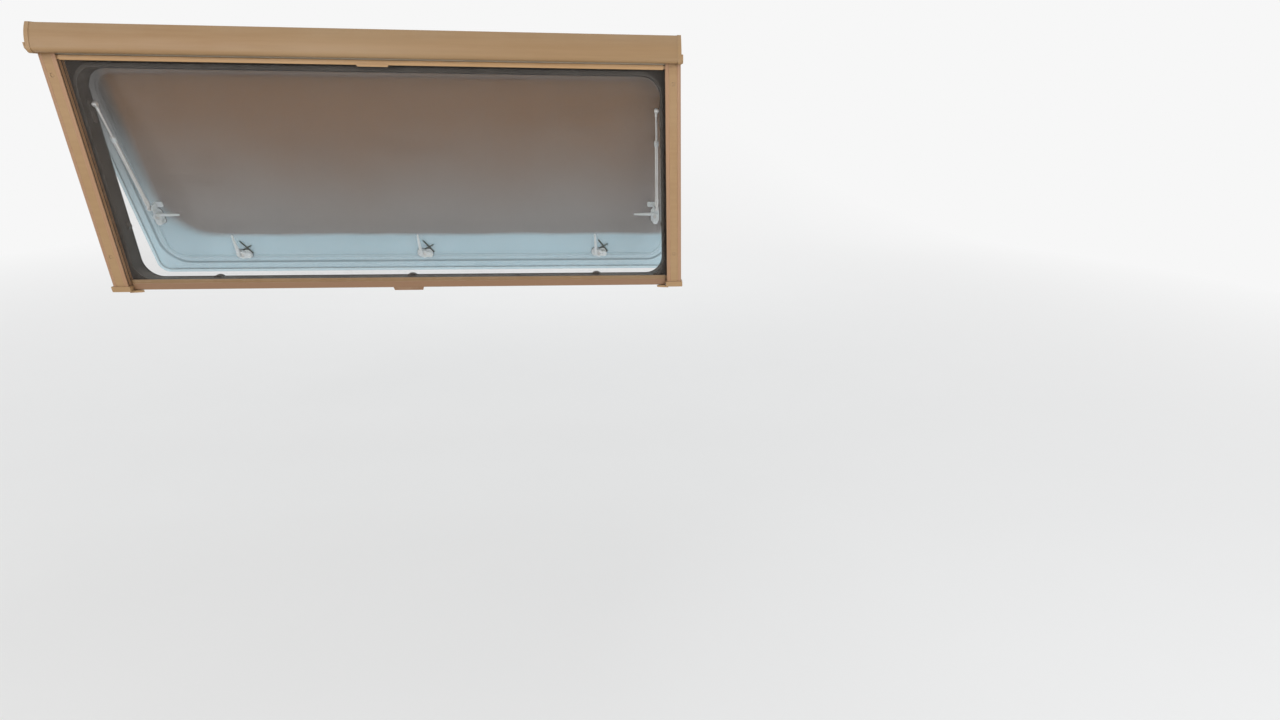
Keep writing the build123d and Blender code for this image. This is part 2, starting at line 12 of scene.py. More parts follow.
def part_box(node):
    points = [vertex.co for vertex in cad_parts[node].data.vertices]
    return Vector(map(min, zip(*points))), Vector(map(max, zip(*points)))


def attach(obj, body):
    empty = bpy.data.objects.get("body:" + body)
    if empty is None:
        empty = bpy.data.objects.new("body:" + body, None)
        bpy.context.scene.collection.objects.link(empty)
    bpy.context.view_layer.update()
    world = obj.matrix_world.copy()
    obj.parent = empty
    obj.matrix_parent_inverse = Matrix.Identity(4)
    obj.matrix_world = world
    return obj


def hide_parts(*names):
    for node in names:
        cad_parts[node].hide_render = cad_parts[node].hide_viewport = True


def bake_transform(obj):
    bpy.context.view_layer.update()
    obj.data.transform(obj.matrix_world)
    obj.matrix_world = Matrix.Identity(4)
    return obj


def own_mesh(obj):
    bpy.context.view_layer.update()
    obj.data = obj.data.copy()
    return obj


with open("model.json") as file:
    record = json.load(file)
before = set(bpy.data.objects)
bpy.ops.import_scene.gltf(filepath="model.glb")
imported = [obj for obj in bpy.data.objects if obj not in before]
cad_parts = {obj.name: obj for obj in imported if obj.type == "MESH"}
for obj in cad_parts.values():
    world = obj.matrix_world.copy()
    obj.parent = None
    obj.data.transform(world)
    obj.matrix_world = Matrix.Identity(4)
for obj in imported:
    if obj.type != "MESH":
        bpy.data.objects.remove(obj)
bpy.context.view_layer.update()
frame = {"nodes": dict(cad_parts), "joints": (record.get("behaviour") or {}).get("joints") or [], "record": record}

bl_info = {
    "name": "Motorhome side window",
    "version": (1, 0, 0),
    "blender": (4, 5, 0),
    "location": "3D View > Sidebar > Window",
    "description": "Finishes, fabrics and fixings of a top-hung side window with a cassette blind",
    "category": "Object",
}

NODES = frame["nodes"]

# Turns a flat shape drawn in X and Y upright, with its Z towards the room
ROOM_SIDE = Matrix(((1, 0, 0, 0), (0, 0, -1, 0), (0, 1, 0, 0), (0, 0, 0, 1)))

# The hinge's line, from the frame's own joint, and the angle of the pane at rest
HINGE = Vector(next(j for j in frame["joints"] if j["name"] == "pane_hinge")["pos_m"])
AJAR = math.radians(14.0)
AJAR_TURN = (Matrix.Translation(HINGE) @ Matrix.Rotation(AJAR, 4, "X")
             @ Matrix.Translation(-HINGE))

# Rounded rectangles on the closed pane, from the hinge's line: centre, half size, corner radius
DISH = ((0.0, -0.299), (0.696, 0.243), 0.050)
# The darker field is partly the smoked tint and partly painted shade from outside the pane, so its outline is
# lopsided and runs past the pane's right edge and top
TINT_AND_PAINTED_SHADE = ((0.164, -0.1385), (0.836, 0.3385), 0.125)
SHEET_EDGE = ((0.0, -0.2975), (0.735, 0.28275), 0.022)

# Catches on the closed pane: X and Z of the lever's root, the turn of the lever, and the side
# of the lever that its hub stands on
CATCHES = (
    (-0.6735, -0.135, -90.0, 1),
    (0.6735, -0.135, 90.0, -1),
    (-0.5, -0.2545, 0.0, 1),
    (0.0, -0.2545, 0.0, 1),
    (0.5, -0.2545, 0.0, 1),
)

# On a catch: the dish's face that it stands on, its hub beside the lever and the hub's height,
# its gasket's place along the lever, and the gasket's width, height, corner, band, thickness and
# rounded edge
DISH_FACE = 0.045
HUB_ASIDE = 0.008
HUB_HIGH = 0.013
GASKET_ALONG = -0.001
GASKET = (0.0452, 0.0262, 0.011, 0.003, 0.0007, 0.0003)

# Dark arms of a low catch, which paint the catch's shade on the pane and cross: start and end from
# the lever's root, and width, then their height over the dish and their thickness
CATCH_SHADE_ARMS = (
    ((0.008, 0.038), (0.034, 0.001), 0.0042),
    ((0.036, 0.025), (0.008, 0.010), 0.0036),
)
CATCH_SHADE_HIGH = 0.0022
CATCH_SHADE_THICK = 0.0018

# Stays: their place across, the frame's end, the pin on the ajar pane, how far from the frame's
# end the collar is, and the collar's grip: ribs, radius, length, the grooves' share of the radius,
# and how far its ends stand out and narrow
STAY_X = 0.679
STAY_ANCHOR = Vector((0, 0.027, 0.147))
STAY_PIN = AJAR_TURN @ Vector((0, 0.025, -0.116))
COLLAR_ALONG = 0.0864
GRIP_RIBS = 28
GRIP_RADIUS = 0.00575
GRIP_LONG = 0.0105
GRIP_GROOVE = 0.95
GRIP_END = 0.0006
GRIP_NARROW = 0.93

# Screws through the side rails, and the face that they are sunk in
SCREW_X = 0.721
SCREW_Z = 0.21
SCREW_FACE = -0.0218

# Tones: the middle of a side rail's face, how far from it the strips at its edges start, the
# height under which the flyscreen bar is prouder, and how wide the change of tone is
RAIL_X = 0.7203
STRIP_FROM = 0.0095
FOOT_TOP = -0.2805
TONE_STEP = 0.001

# Brush pile: the middles of a rail's grooves, each strip's place and size in them, how much
# shorter than the rail it is, and how far its free edge frays
GROOVES = (-0.021, -0.009)
PILE_X = 0.7034
PILE_WIDE = 0.0034
PILE_THICK = 0.0004
PILE_OFF_MIDDLE = 0.00165
PILE_SHORT = 0.004
PILE_FRAY = 0.0007

# Sealants: the faces that the resin bead and the butyl lie on, how far the bead goes past the
# sheet and the butyl stays inside the flange, their sizes, and how uneven the butyl is
RESIN_FACE = 0.056
RESIN_PAST = 0.0016
RESIN_WIDE = 0.0022
BUTYL_FACE = 0.032
BUTYL_INSIDE = 0.006
BUTYL_ROUND = 0.038
BUTYL_WIDE = 0.007
BUTYL_THICK = 0.0018
BUTYL_UNEVEN = 0.35

# Rivets of the hinge rail: the distance between them, their place, and the way they look
RIVET_STEP = 0.22
RIVET_Y = 0.0549
RIVET_Z = 0.2818
RIVET_WAY = Vector((0, 15, 6)).normalized()

# Cloth: how thick the flyscreen and the blackout are, and the height of the flyscreen's ripples
SCREEN_THICK = 0.0003
BLACKOUT_THICK = 0.0005
SCREEN_RIPPLE = 0.0005


def tint(name, description, default):
    """A colour that the user may change."""
    return FloatVectorProperty(
        name=name, description=description, subtype="COLOR", size=3, min=0, max=1, default=default)


class WindowColours(bpy.types.PropertyGroup):
    """Colours of the window's finishes"""
    aged_plastic: tint("Aged plastic", "Cassette, rails and bars", (0.425, 0.265, 0.130))
    frame_foam: tint("Frame", "Outer frame and clamp ring", (0.050, 0.038, 0.029))
    milky_plastic: tint("Catches", "Catches and ears", (0.87, 0.93, 0.955))
    # The pane's four colours are partly its smoked tint and partly painted light: painted shade from outside the
    # pane in the field, more of it towards the top, and painted daylight in the pale blue foot of the margin
    smoke_and_painted_shade_high: tint("Smoke, top", "Tinted field near the hinge", (0.330, 0.179, 0.085))
    smoke_and_painted_shade_low: tint("Smoke, foot", "Tinted field near the low edge", (0.39, 0.378, 0.372))
    margin_painted_shade_high: tint("Margin, top", "Pale margin near the hinge", (0.174, 0.155, 0.141))
    margin_painted_daylight_low: tint("Margin, foot", "Pale margin near the low edge", (0.60, 0.86, 0.96))
    mesh_thread: tint("Flyscreen thread", "Threads of the flyscreen", (0.15, 0.14, 0.13))
    blackout: tint("Blackout cloth", "Coated side of the blackout fabric", (0.50, 0.42, 0.31))
    floor: tint("Floor", "Floor and backdrop", (0.80, 0.80, 0.79))


class WindowSizes(bpy.types.PropertyGroup):
    """Sizes of what is added to the frame"""
    mesh_pitch: FloatProperty(
        name="Mesh pitch", description="Distance between two threads of the flyscreen",
        default=0.0014, min=0.0005, max=0.01, unit="LENGTH")
    cap_radius: FloatProperty(
        name="Cover cap", description="Radius of the caps over the screws in the rails",
        default=0.0043, min=0.003, max=0.0045, unit="LENGTH")
    floor_drop: FloatProperty(
        name="Floor drop", description="Height of the screws' centre above the floor",
        default=0.86, min=0.3, max=3, unit="LENGTH")


def colour(name):
    """A colour of the window."""
    return getattr(bpy.context.scene.window_colours, name)[:]


def toned(base, share):
    """A colour with its red, green and blue each multiplied by a share."""
    return tuple(value * part for value, part in zip(base, share))


def size(name):
    """A size of the window, in metres."""
    return getattr(bpy.context.scene.window_sizes, name)


# Node helpers

FLOAT = "NodeSocketFloat"
COLOUR = "NodeSocketColor"
VECTOR = "NodeSocketVector"


def join(value, socket):
    """Joins a socket to another node's socket, or sets it to a value; a colour has no alpha."""
    if isinstance(value, bpy.types.NodeSocket):
        socket.id_data.links.new(value, socket)
    elif socket.type == "RGBA":
        socket.default_value = (*value, 1.0)
    else:
        socket.default_value = value


def feed(sockets, **values):
    """Fills named sockets; underscores in the names stand for spaces."""
    for key, value in values.items():
        join(value, sockets[key.replace("_", " ")])


def add(tree, kind, inputs=None, **settings):
    """Adds a shader node to a tree, sets its properties and then its inputs."""
    node = tree.nodes.new("ShaderNode" + kind)
    for key, value in settings.items():
        setattr(node, key, value)
    for key, value in (inputs or {}).items():
        join(value, node.inputs[key])
    return node


def object_point(tree):
    """The point on the surface, in the object's own coordinates."""
    return add(tree, "TexCoord").outputs["Object"]


# The helpers from here to bump add their nodes to the tree of the socket they are given

def maths(operation, *values, clamp=False):
    """A Math node's result."""
    return add(values[0].id_data, "Math", dict(enumerate(values)), operation=operation,
               use_clamp=clamp).outputs[0]


def times(first, *others):
    """The product of some values."""
    for value in others:
        first = maths("MULTIPLY", first, value)
    return first


def plus(first, *others, clamp=False):
    """The sum of some values."""
    for value in others:
        first = maths("ADD", first, value, clamp=clamp)
    return first


def away_from(value, place):
    """How far a value is from a place, to either side."""
    return maths("ABSOLUTE", maths("SUBTRACT", value, place))


def vector_maths(operation, *values):
    """A Vector Math node's result, a number for a length or a dot product."""
    node = add(values[0].id_data, "VectorMath", dict(enumerate(values)), operation=operation)
    return node.outputs["Value" if operation in ("LENGTH", "DOT_PRODUCT") else "Vector"]


def axis_of(vector, axis):
    """A vector's part along X, Y or Z."""
    return add(vector.id_data, "SeparateXYZ", {"Vector": vector}).outputs[axis]


def between(factor, first, second):
    """A colour between two, by a factor."""
    return add(factor.id_data, "Mix", {0: factor, 6: first, 7: second},
               data_type="RGBA").outputs[2]


def ramp(value, low, high, start=0.0, end=1.0, shape="LINEAR"):
    """A value mapped from low..high to start..end, and held there."""
    return add(value.id_data, "MapRange", {
        "Value": value, "From Min": low, "From Max": high, "To Min": start, "To Max": end},
        clamp=True, interpolation_type=shape).outputs["Result"]


def noise(point, scale, detail=3.0, roughness=0.55, stretch=None):
    """Noise between 0 and 1, in repeats per metre; a stretch below 1 draws it out on its axis."""
    if stretch:
        point = add(point.id_data, "Mapping", {"Vector": point, "Scale": stretch}).outputs[0]
    return add(point.id_data, "TexNoise", {
        "Vector": point, "Scale": scale, "Detail": detail,
        "Roughness": roughness}).outputs["Fac"]


def wander(point, scale, reach):
    """Slow noise about zero, with a reach in all."""
    return times(maths("SUBTRACT", noise(point, scale, 2.0), 0.5), reach)


def bump(height, distance, strength, over=None, invert=False):
    """A normal that a height bends, over another normal if there is one."""
    node = add(height.id_data, "Bump", {
        "Height": height, "Distance": distance, "Strength": strength}, invert=invert)
    if over:
        join(over, node.inputs["Normal"])
    return node.outputs[0]


def start_group(name, inputs, outputs):
    """A new shader node group, from its inputs' values and its outputs' kinds; gives it, its
    input, its output and the point on the surface."""
    tree = bpy.data.node_groups.new(name, "ShaderNodeTree")
    for socket, value in inputs.items():
        kind, value = (FLOAT, value) if isinstance(value, float) else (COLOUR, (*value, 1.0))
        tree.interface.new_socket(socket, in_out="INPUT", socket_type=kind).default_value = value
    for socket, kind in outputs.items():
        tree.interface.new_socket(socket, in_out="OUTPUT", socket_type=kind)
    return (tree, tree.nodes.new("NodeGroupInput").outputs,
            tree.nodes.new("NodeGroupOutput").inputs, object_point(tree))


def use_group(tree, name, **inputs):
    """Places a group in a material and fills its inputs."""
    node = add(tree, "Group", node_tree=bpy.data.node_groups[name])
    feed(node.inputs, **inputs)
    return node.outputs


def make_material(name, draw, *values):
    """A material of one Principled BSDF, which a function draws; blended where it has an alpha."""
    material = bpy.data.materials.new(name)
    material.use_nodes = True
    tree = material.node_tree
    shader = tree.nodes["Principled BSDF"].inputs
    draw(tree, shader, object_point(tree), *values)
    if shader["Alpha"].is_linked:
        material.surface_render_method = "BLENDED"
    return material


# Effects that several materials share

def build_edge_wear():
    """Rubbed edges, and grime with painted shade in corners: a colour that pales on edges and darkens in corners
    that ambient occlusion finds.
    """
    tree, given, result, point = start_group(
        "Edge wear",
        {"Colour": (0.5, 0.5, 0.5), "Rubbed Colour": (0.8, 0.8, 0.8),
         "Dirt Colour": (0.1, 0.08, 0.06), "Edge Width": 0.0012, "Rubbed": 0.4, "Dirt": 0.4},
        {"Colour": COLOUR, "Rubbed Mask": FLOAT, "Dirt Mask": FLOAT})
    flat = add(tree, "NewGeometry").outputs["Normal"]
    rounded = add(tree, "Bevel", {"Radius": given["Edge Width"]}, samples=4)
    edge = ramp(vector_maths("DOT_PRODUCT", flat, rounded.outputs[0]), 0.995, 0.90)
    patches = ramp(noise(point, 55.0, 5.0), 0.38, 0.62)
    rubbed = times(edge, patches, given["Rubbed"])
    # Corners that ambient occlusion finds, in patches, are darkened towards the given colour: partly settled
    # grime, partly painted shade
    shade = add(tree, "AmbientOcclusion", {"Distance": 0.012}, samples=4)
    corner = ramp(shade.outputs["AO"], 0.85, 0.35)
    film = ramp(noise(point, 24.0, 4.0), 0.42, 0.75, 0.25, 1.0)
    dirt = times(corner, film, given["Dirt"])
    darker = between(dirt, given["Colour"], given["Dirt Colour"])
    feed(result, Colour=between(rubbed, darker, given["Rubbed Colour"]),
         Rubbed_Mask=rubbed, Dirt_Mask=dirt)


def build_grain():
    """The fine pebbled grain of moulded plastic, with slow unevenness, as a normal and a mask."""
    tree, given, result, point = start_group(
        "Moulded grain", {"Grain Scale": 900.0, "Depth": 0.00004, "Unevenness": 0.3},
        {"Mask": FLOAT, "Normal": VECTOR})
    fine = add(tree, "TexVoronoi", {
        "Vector": point, "Scale": given["Grain Scale"]}, feature="SMOOTH_F1").outputs["Distance"]
    slow = noise(point, 9.0, 2.0)
    height = plus(fine, times(slow, given["Unevenness"]))
    feed(result, Mask=slow, Normal=bump(height, given["Depth"], 0.7))


def build_dust():
    """Dust that lies on faces that look up, thicker in patches."""
    tree, given, result, point = start_group(
        "Settled dust",
        {"Colour": (0.5, 0.5, 0.5), "Dust Colour": (0.55, 0.52, 0.47), "Amount": 0.4},
        {"Colour": COLOUR, "Mask": FLOAT})
    normal = add(tree, "NewGeometry").outputs["Normal"]
    level = ramp(axis_of(normal, "Z"), 0.35, 0.9)
    patches = ramp(noise(point, 14.0, 6.0, 0.65), 0.36, 0.66, 0.3, 1.0)
    mask = times(level, patches, given["Amount"])
    feed(result, Mask=mask, Colour=between(mask, given["Colour"], given["Dust Colour"]))


def build_smears():
    """Wiped streaks and finger marks on a smooth sheet, as a mask, and its waves, as a normal."""
    _, given, result, point = start_group(
        "Wiped smears", {"Streak Scale": 30.0, "Amount": 0.5}, {"Mask": FLOAT, "Normal": VECTOR})
    wiped = noise(point, given["Streak Scale"], 1.0, 0.4, stretch=(0.12, 1.0, 1.0))
    streaks = ramp(wiped, 0.3, 0.85, shape="SMOOTHSTEP")
    blots = ramp(noise(point, 7.0, 1.0), 0.3, 0.85, shape="SMOOTHSTEP")
    feed(result, Mask=times(streaks, blots, given["Amount"]),
         Normal=bump(noise(point, 3.2, 1.0), 0.0006, 0.35))


def build_weave():
    """A plain weave of threads that cross over and under, as masks and a height."""
    _, given, result, point = start_group(
        "Plain weave", {"Pitch": 0.0014, "Thread": 0.32}, {"Threads": FLOAT, "Height": FLOAT})
    half = times(given["Thread"], 0.5)
    strands = []
    waves = []
    for axis in ("X", "Z"):
        turns = maths("DIVIDE", axis_of(point, axis), given["Pitch"])
        strands.append(maths("LESS_THAN", maths("PINGPONG", turns, 0.5), half))
        waves.append(maths("SINE", times(turns, math.pi)))
    feed(result, Threads=maths("MAXIMUM", *strands), Height=times(*waves))


def past_rounded(flat, shape):
    """How far a point lies outside a rounded rectangle, in metres; negative inside."""
    (x, y), (half_x, half_y), corner_round = shape
    away = vector_maths("ABSOLUTE", vector_maths("SUBTRACT", flat, (x, y, 0)))
    past = vector_maths("SUBTRACT", away, (half_x - corner_round, half_y - corner_round, 0))
    corner = vector_maths("LENGTH", vector_maths("MAXIMUM", past, (0, 0, 0)))
    side = maths("MAXIMUM", axis_of(past, "X"), axis_of(past, "Y"))
    inside = maths("MINIMUM", side, 0.0)
    return maths("SUBTRACT", plus(corner, inside), corner_round)


def fine_line(distance, place, wide):
    """A thin line where a distance has a value, as a mask."""
    return ramp(away_from(distance, place), wide, wide * 0.35)


def build_pane_border():
    """The pane's tint with its pale margin, partly painted light: the field carries painted shade from
    outside the pane and darkens towards the top, and the margin's foot is painted daylight; how far up
    the pane a point is, a mask of where the margin lets more light through, and the fine lines in the
    margin, as masks."""
    tree, given, result, point = start_group(
        "Pane border", {"Soft Edge": 1.0},
        {"Field": COLOUR, "Rise": FLOAT, "Cover": FLOAT, "Dish Step": FLOAT,
         "Bonded Line": FLOAT, "Sheet Line": FLOAT})
    closed = add(tree, "Mapping", {
        "Vector": point, "Location": HINGE, "Rotation": (AJAR, 0, 0)},
        vector_type="TEXTURE").outputs[0]
    x = axis_of(closed, "X")
    z = axis_of(closed, "Z")
    flat = add(tree, "CombineXYZ", {"X": x, "Y": z}).outputs[0]
    # Outside this outline lies the pale margin; inside it, the smoked tint with painted shade from outside the
    # pane
    past_painted_shade_field = plus(past_rounded(flat, TINT_AND_PAINTED_SHADE), wander(closed, 7.0, 0.010))
    soft = times(ramp(x, -0.62, -0.5, 0.013, 0.004), given["Soft Edge"])
    margin = ramp(maths("DIVIDE", past_painted_shade_field, soft), -1.0, 1.0)
    # Darker towards the top: painted shade over both the field and the margin, with painted daylight at the
    # margin's foot
    height = plus(z, wander(closed, 3.0, 0.12))
    rise = ramp(height, -0.52, -0.08, shape="SMOOTHSTEP")
    field = between(rise, colour("smoke_and_painted_shade_low"), colour("smoke_and_painted_shade_high"))
    pale = between(rise, colour("margin_painted_daylight_low"), colour("margin_painted_shade_high"))
    dish = past_rounded(flat, DISH)
    sheet = past_rounded(flat, SHEET_EDGE)
    # The fine lines fade towards the top, into the painted shade
    fade = ramp(rise, 0.5, 1.0, 1.0, 0.15)
    feed(result, Field=between(margin, field, pale), Rise=rise,
         Cover=times(margin, ramp(rise, 0.3, 1.0, 1.0, 0.3)),
         Dish_Step=times(ramp(away_from(dish, -0.002), 0.006, 0.0), fade),
         Bonded_Line=times(fine_line(dish, 0.0165, 0.0035), fade),
         Sheet_Line=times(fine_line(sheet, 0.0, 0.003), fade))


# Materials

def worn_edges(base, rubbed_colour, dirt_colour, width, rubbed, dirt):
    """A colour under edge wear and under corner darkening that is partly grime and partly painted shade, with the
    colours, the width and the shares of each.
    """
    return use_group(base.id_data, "Edge wear", Colour=base, Rubbed_Colour=rubbed_colour,
                     Dirt_Colour=dirt_colour, Edge_Width=width, Rubbed=rubbed, Dirt=dirt)


def draw_aged_plastic(tree, shader, point, band=None, tone=1.0):
    """Yellowed cream plastic: fine grain, long soft streaks, rubbed and dusty, darker in corners
    with grime and painted shade. A band is a function of the point that masks where the plastic
    is pinker. A tone scales the colour; on the flyscreen bar and the cassette it adds painted
    shade, on the blackout bar a painted highlight."""
    base = toned(colour("aged_plastic"), (tone, tone, tone))
    patches = ramp(noise(point, 5.0, 4.0, stretch=(0.35, 1, 1)), 0.35, 0.7)
    yellowed = between(patches, base, toned(base, (0.93, 0.86, 0.76)))
    streaks = ramp(noise(point, 130.0, 2.0, stretch=(0.04, 1, 1)), 0.4, 0.65, 0, 0.35)
    drawn = between(streaks, yellowed, toned(base, (1.1, 1.1, 1.1)))
    if band:
        drawn = between(band(point), drawn, toned(base, (1.02, 0.92, 1.02)))
    worn = worn_edges(drawn, (0.60, 0.45, 0.30), (0.10, 0.06, 0.032), 0.0012, 0.5, 0.6)
    dusty = use_group(
        tree, "Settled dust", Colour=worn["Colour"], Dust_Colour=(0.48, 0.38, 0.27), Amount=0.4)
    grain = use_group(tree, "Moulded grain", Grain_Scale=1100.0, Depth=0.00005, Unevenness=0.6)
    rough = plus(ramp(grain["Mask"], 0.3, 0.7, 0.36, 0.48), times(dusty["Mask"], 0.4), clamp=True)
    feed(shader, Base_Color=dusty["Colour"], Roughness=rough, Normal=grain["Normal"])


def rail_strips(point):
    """The two narrow strips at the edges of a side rail's face, as a mask."""
    aside = maths("ABSOLUTE", axis_of(point, "X"))
    return ramp(away_from(aside, RAIL_X), STRIP_FROM, STRIP_FROM + TONE_STEP)


def bar_foot(point):
    """The lower, prouder part of the flyscreen bar, as a mask."""
    return ramp(axis_of(point, "Z"), FOOT_TOP, FOOT_TOP - TONE_STEP)


def draw_frame_foam(tree, shader, point):
    """Matt dark foam plastic of the frame, with pits and a chalky film."""
    chalk = ramp(noise(point, 18.0, 6.0, 0.65), 0.45, 0.75, 0, 0.4)
    film = between(chalk, colour("frame_foam"), (0.14, 0.13, 0.12))
    worn = worn_edges(film, (0.24, 0.22, 0.20), (0.012, 0.01, 0.008), 0.0015, 0.6, 0.6)
    dusty = use_group(
        tree, "Settled dust", Colour=worn["Colour"], Dust_Colour=(0.33, 0.30, 0.26), Amount=0.55)
    grain = use_group(tree, "Moulded grain", Grain_Scale=650.0, Depth=0.00009, Unevenness=0.5)
    dents = ramp(noise(point, 700.0, 2.0), 0.62, 0.7)
    feed(shader, Base_Color=dusty["Colour"], Roughness=ramp(chalk, 0, 0.4, 0.58, 0.74),
         Normal=bump(dents, 0.0001, 0.5, over=grain["Normal"], invert=True))


def draw_milky_plastic(tree, shader, point):
    """Milky white plastic of the catches, a little translucent, greyed by handling."""
    base = colour("milky_plastic")
    greyed = ramp(noise(point, 60.0, 4.0), 0.4, 0.7, 0, 0.5)
    handled = between(greyed, base, toned(base, (0.86, 0.84, 0.78)))
    worn = worn_edges(handled, (0.86, 0.87, 0.86), (0.20, 0.18, 0.15), 0.0008, 0.5, 0.7)
    grain = use_group(tree, "Moulded grain", Grain_Scale=1500.0, Depth=0.00002, Unevenness=0.8)
    feed(shader, Base_Color=worn["Colour"], Normal=grain["Normal"],
         Roughness=ramp(grain["Mask"], 0.3, 0.7, 0.26, 0.4),
         Subsurface_Weight=0.25, Subsurface_Radius=(1.0, 1.0, 0.9), Subsurface_Scale=0.002)


def draw_keeper_plastic(tree, shader, point):
    """Dark brown-grey plastic of keepers and end caps, polished where it is touched."""
    mottle = between(ramp(noise(point, 90.0, 5.0), 0.35, 0.65),
                     (0.075, 0.062, 0.052), (0.12, 0.10, 0.085))
    worn = worn_edges(mottle, (0.33, 0.29, 0.24), (0.02, 0.017, 0.014), 0.001, 0.8, 0.6)
    grain = use_group(tree, "Moulded grain", Grain_Scale=1200.0, Depth=0.00004, Unevenness=0.5)
    feed(shader, Base_Color=worn["Colour"], Normal=grain["Normal"],
         Roughness=ramp(worn["Rubbed Mask"], 0, 0.6, 0.5, 0.28))


def draw_smoked_sheet(tree, shader, point):
    """Outer sheet: smoked acrylic with a pale margin, over the pane's painted shade and painted daylight, and fine
    rain marks outside.
    """
    border = use_group(tree, "Pane border", Soft_Edge=1.0)
    smears = use_group(tree, "Wiped smears", Streak_Scale=28.0, Amount=0.8)
    marks = ramp(noise(point, 160.0, 4.0, stretch=(1, 1, 0.25)), 0.6, 0.78)
    dulled = between(times(marks, 0.12), border["Field"], (0.46, 0.45, 0.43))
    lined = between(times(border["Sheet Line"], 0.85), dulled, (0.16, 0.20, 0.21))
    # The margin and the foot are made more see-through and the top less, so that more of the backdrop's light
    # shows low down: painted daylight below, painted shade above
    paler = times(border["Cover"], ramp(border["Rise"], 0, 1, 0.23, 0.10))
    seen = plus(
        maths("SUBTRACT", ramp(border["Rise"], 0, 1, 0.67, 0.78), paler),
        times(smears["Mask"], 0.10), times(border["Sheet Line"], 0.2), clamp=True)
    feed(shader, Base_Color=lined, Alpha=seen, Normal=smears["Normal"], IOR=1.49,
         Roughness=ramp(smears["Mask"], 0, 0.8, 0.06, 0.30))


def draw_inner_sheet(tree, shader, point):
    """Inner sheet: clearer formed acrylic over the pane's painted shade and painted daylight, with hazed and dark
    lines near its edge.
    """
    border = use_group(tree, "Pane border", Soft_Edge=1.2)
    smears = use_group(tree, "Wiped smears", Streak_Scale=34.0, Amount=0.9)
    crazing = ramp(noise(point, 260.0, 2.0, stretch=(0.3, 1, 1)), 0.58, 0.7)
    hazed = between(times(border["Dish Step"], 0.7), border["Field"], (0.66, 0.75, 0.77))
    fine = between(times(crazing, 0.12), hazed, (0.7, 0.7, 0.68))
    lined = between(times(border["Bonded Line"], 0.8), fine, (0.17, 0.21, 0.22))
    # More opaque in the margin, so that its painted daylight shows
    seen = plus(
        ramp(border["Cover"], 0, 1, 0.20, 0.26), times(border["Dish Step"], 0.26),
        times(border["Bonded Line"], 0.3), times(smears["Mask"], 0.06), clamp=True)
    feed(shader, Base_Color=lined, Alpha=seen, Normal=smears["Normal"], IOR=1.49,
         Roughness=ramp(smears["Mask"], 0, 0.9, 0.05, 0.28))


def draw_seal_rubber(tree, shader, point):
    """Black rubber with a pale bloom and fine cross wrinkles."""
    bloom = ramp(noise(point, 34.0, 5.0, 0.6), 0.45, 0.72, 0, 0.6)
    tone = between(bloom, (0.016, 0.016, 0.016), (0.075, 0.072, 0.068))
    worn = worn_edges(tone, (0.11, 0.105, 0.10), (0.16, 0.14, 0.11), 0.001, 0.4, 0.35)
    wrinkles = noise(point, 480.0, 3.0, stretch=(1, 0.2, 1))
    feed(shader, Base_Color=worn["Colour"], Normal=bump(wrinkles, 0.00012, 0.6),
         Roughness=ramp(bloom, 0, 0.6, 0.42, 0.7))


def draw_anodised(tree, shader, point, tone, stretch, metal=0.95):
    """Anodised aluminium: lines drawn along the part, cloudy oxide, and grime with painted shade in corners."""
    lines = noise(point, 900.0, 2.0, stretch=stretch)
    oxide = ramp(noise(point, 20.0, 5.0), 0.4, 0.75, 0, 0.5)
    grey = (tone, tone, tone)
    base = between(oxide, toned(grey, (1, 1, 0.98)), toned(grey, (0.7, 0.69, 0.66)))
    worn = worn_edges(base, (0.85, 0.85, 0.84), (0.07, 0.06, 0.05), 0.0008, 0.5, 0.6)
    rough = plus(ramp(lines, 0.3, 0.7, 0.28, 0.42), times(oxide, 0.35))
    feed(shader, Base_Color=worn["Colour"], Roughness=rough,
         Metallic=ramp(worn["Dirt Mask"], 0, 0.6, metal, 0.2),
         Normal=bump(lines, 0.00002, 0.5))


def draw_mesh_cloth(tree, shader, point):
    """Flyscreen: grey threads in a plain weave with open holes, dusty in soft clouds."""
    weave = use_group(tree, "Plain weave", Pitch=size("mesh_pitch"), Thread=0.34)
    dust = ramp(noise(point, 3.5, 5.0, 0.6), 0.35, 0.7)
    base = colour("mesh_thread")
    seen = add(tree, "Mix", {
        0: weave["Threads"], 2: ramp(dust, 0, 1, 0.01, 0.03),
        3: ramp(dust, 0, 1, 0.13, 0.18)}, data_type="FLOAT").outputs[0]
    feed(shader, Alpha=seen, Roughness=ramp(weave["Height"], -1, 1, 0.62, 0.8),
         Base_Color=between(dust, base, toned(base, (1.35, 1.33, 1.28))))


def draw_blackout_cloth(tree, shader, point):
    """Blackout fabric: coated cloth with a fine weave, clouded in soft bands across."""
    weave = use_group(tree, "Plain weave", Pitch=0.0006, Thread=0.7)
    bands = noise(point, 16.0, 2.0, stretch=(0.08, 1, 1))
    clouds = noise(point, 6.0, 4.0)
    soiled = ramp(plus(bands, clouds), 0.75, 1.3)
    base = colour("blackout")
    tone = between(soiled, base, toned(base, (0.88, 0.86, 0.82)))
    fine = between(times(weave["Threads"], 0.25), tone, toned(base, (1.15, 1.15, 1.15)))
    feed(shader, Base_Color=fine, Roughness=ramp(soiled, 0, 1, 0.62, 0.75),
         Normal=bump(weave["Height"], 0.00006, 0.5), Sheen_Weight=0.2)


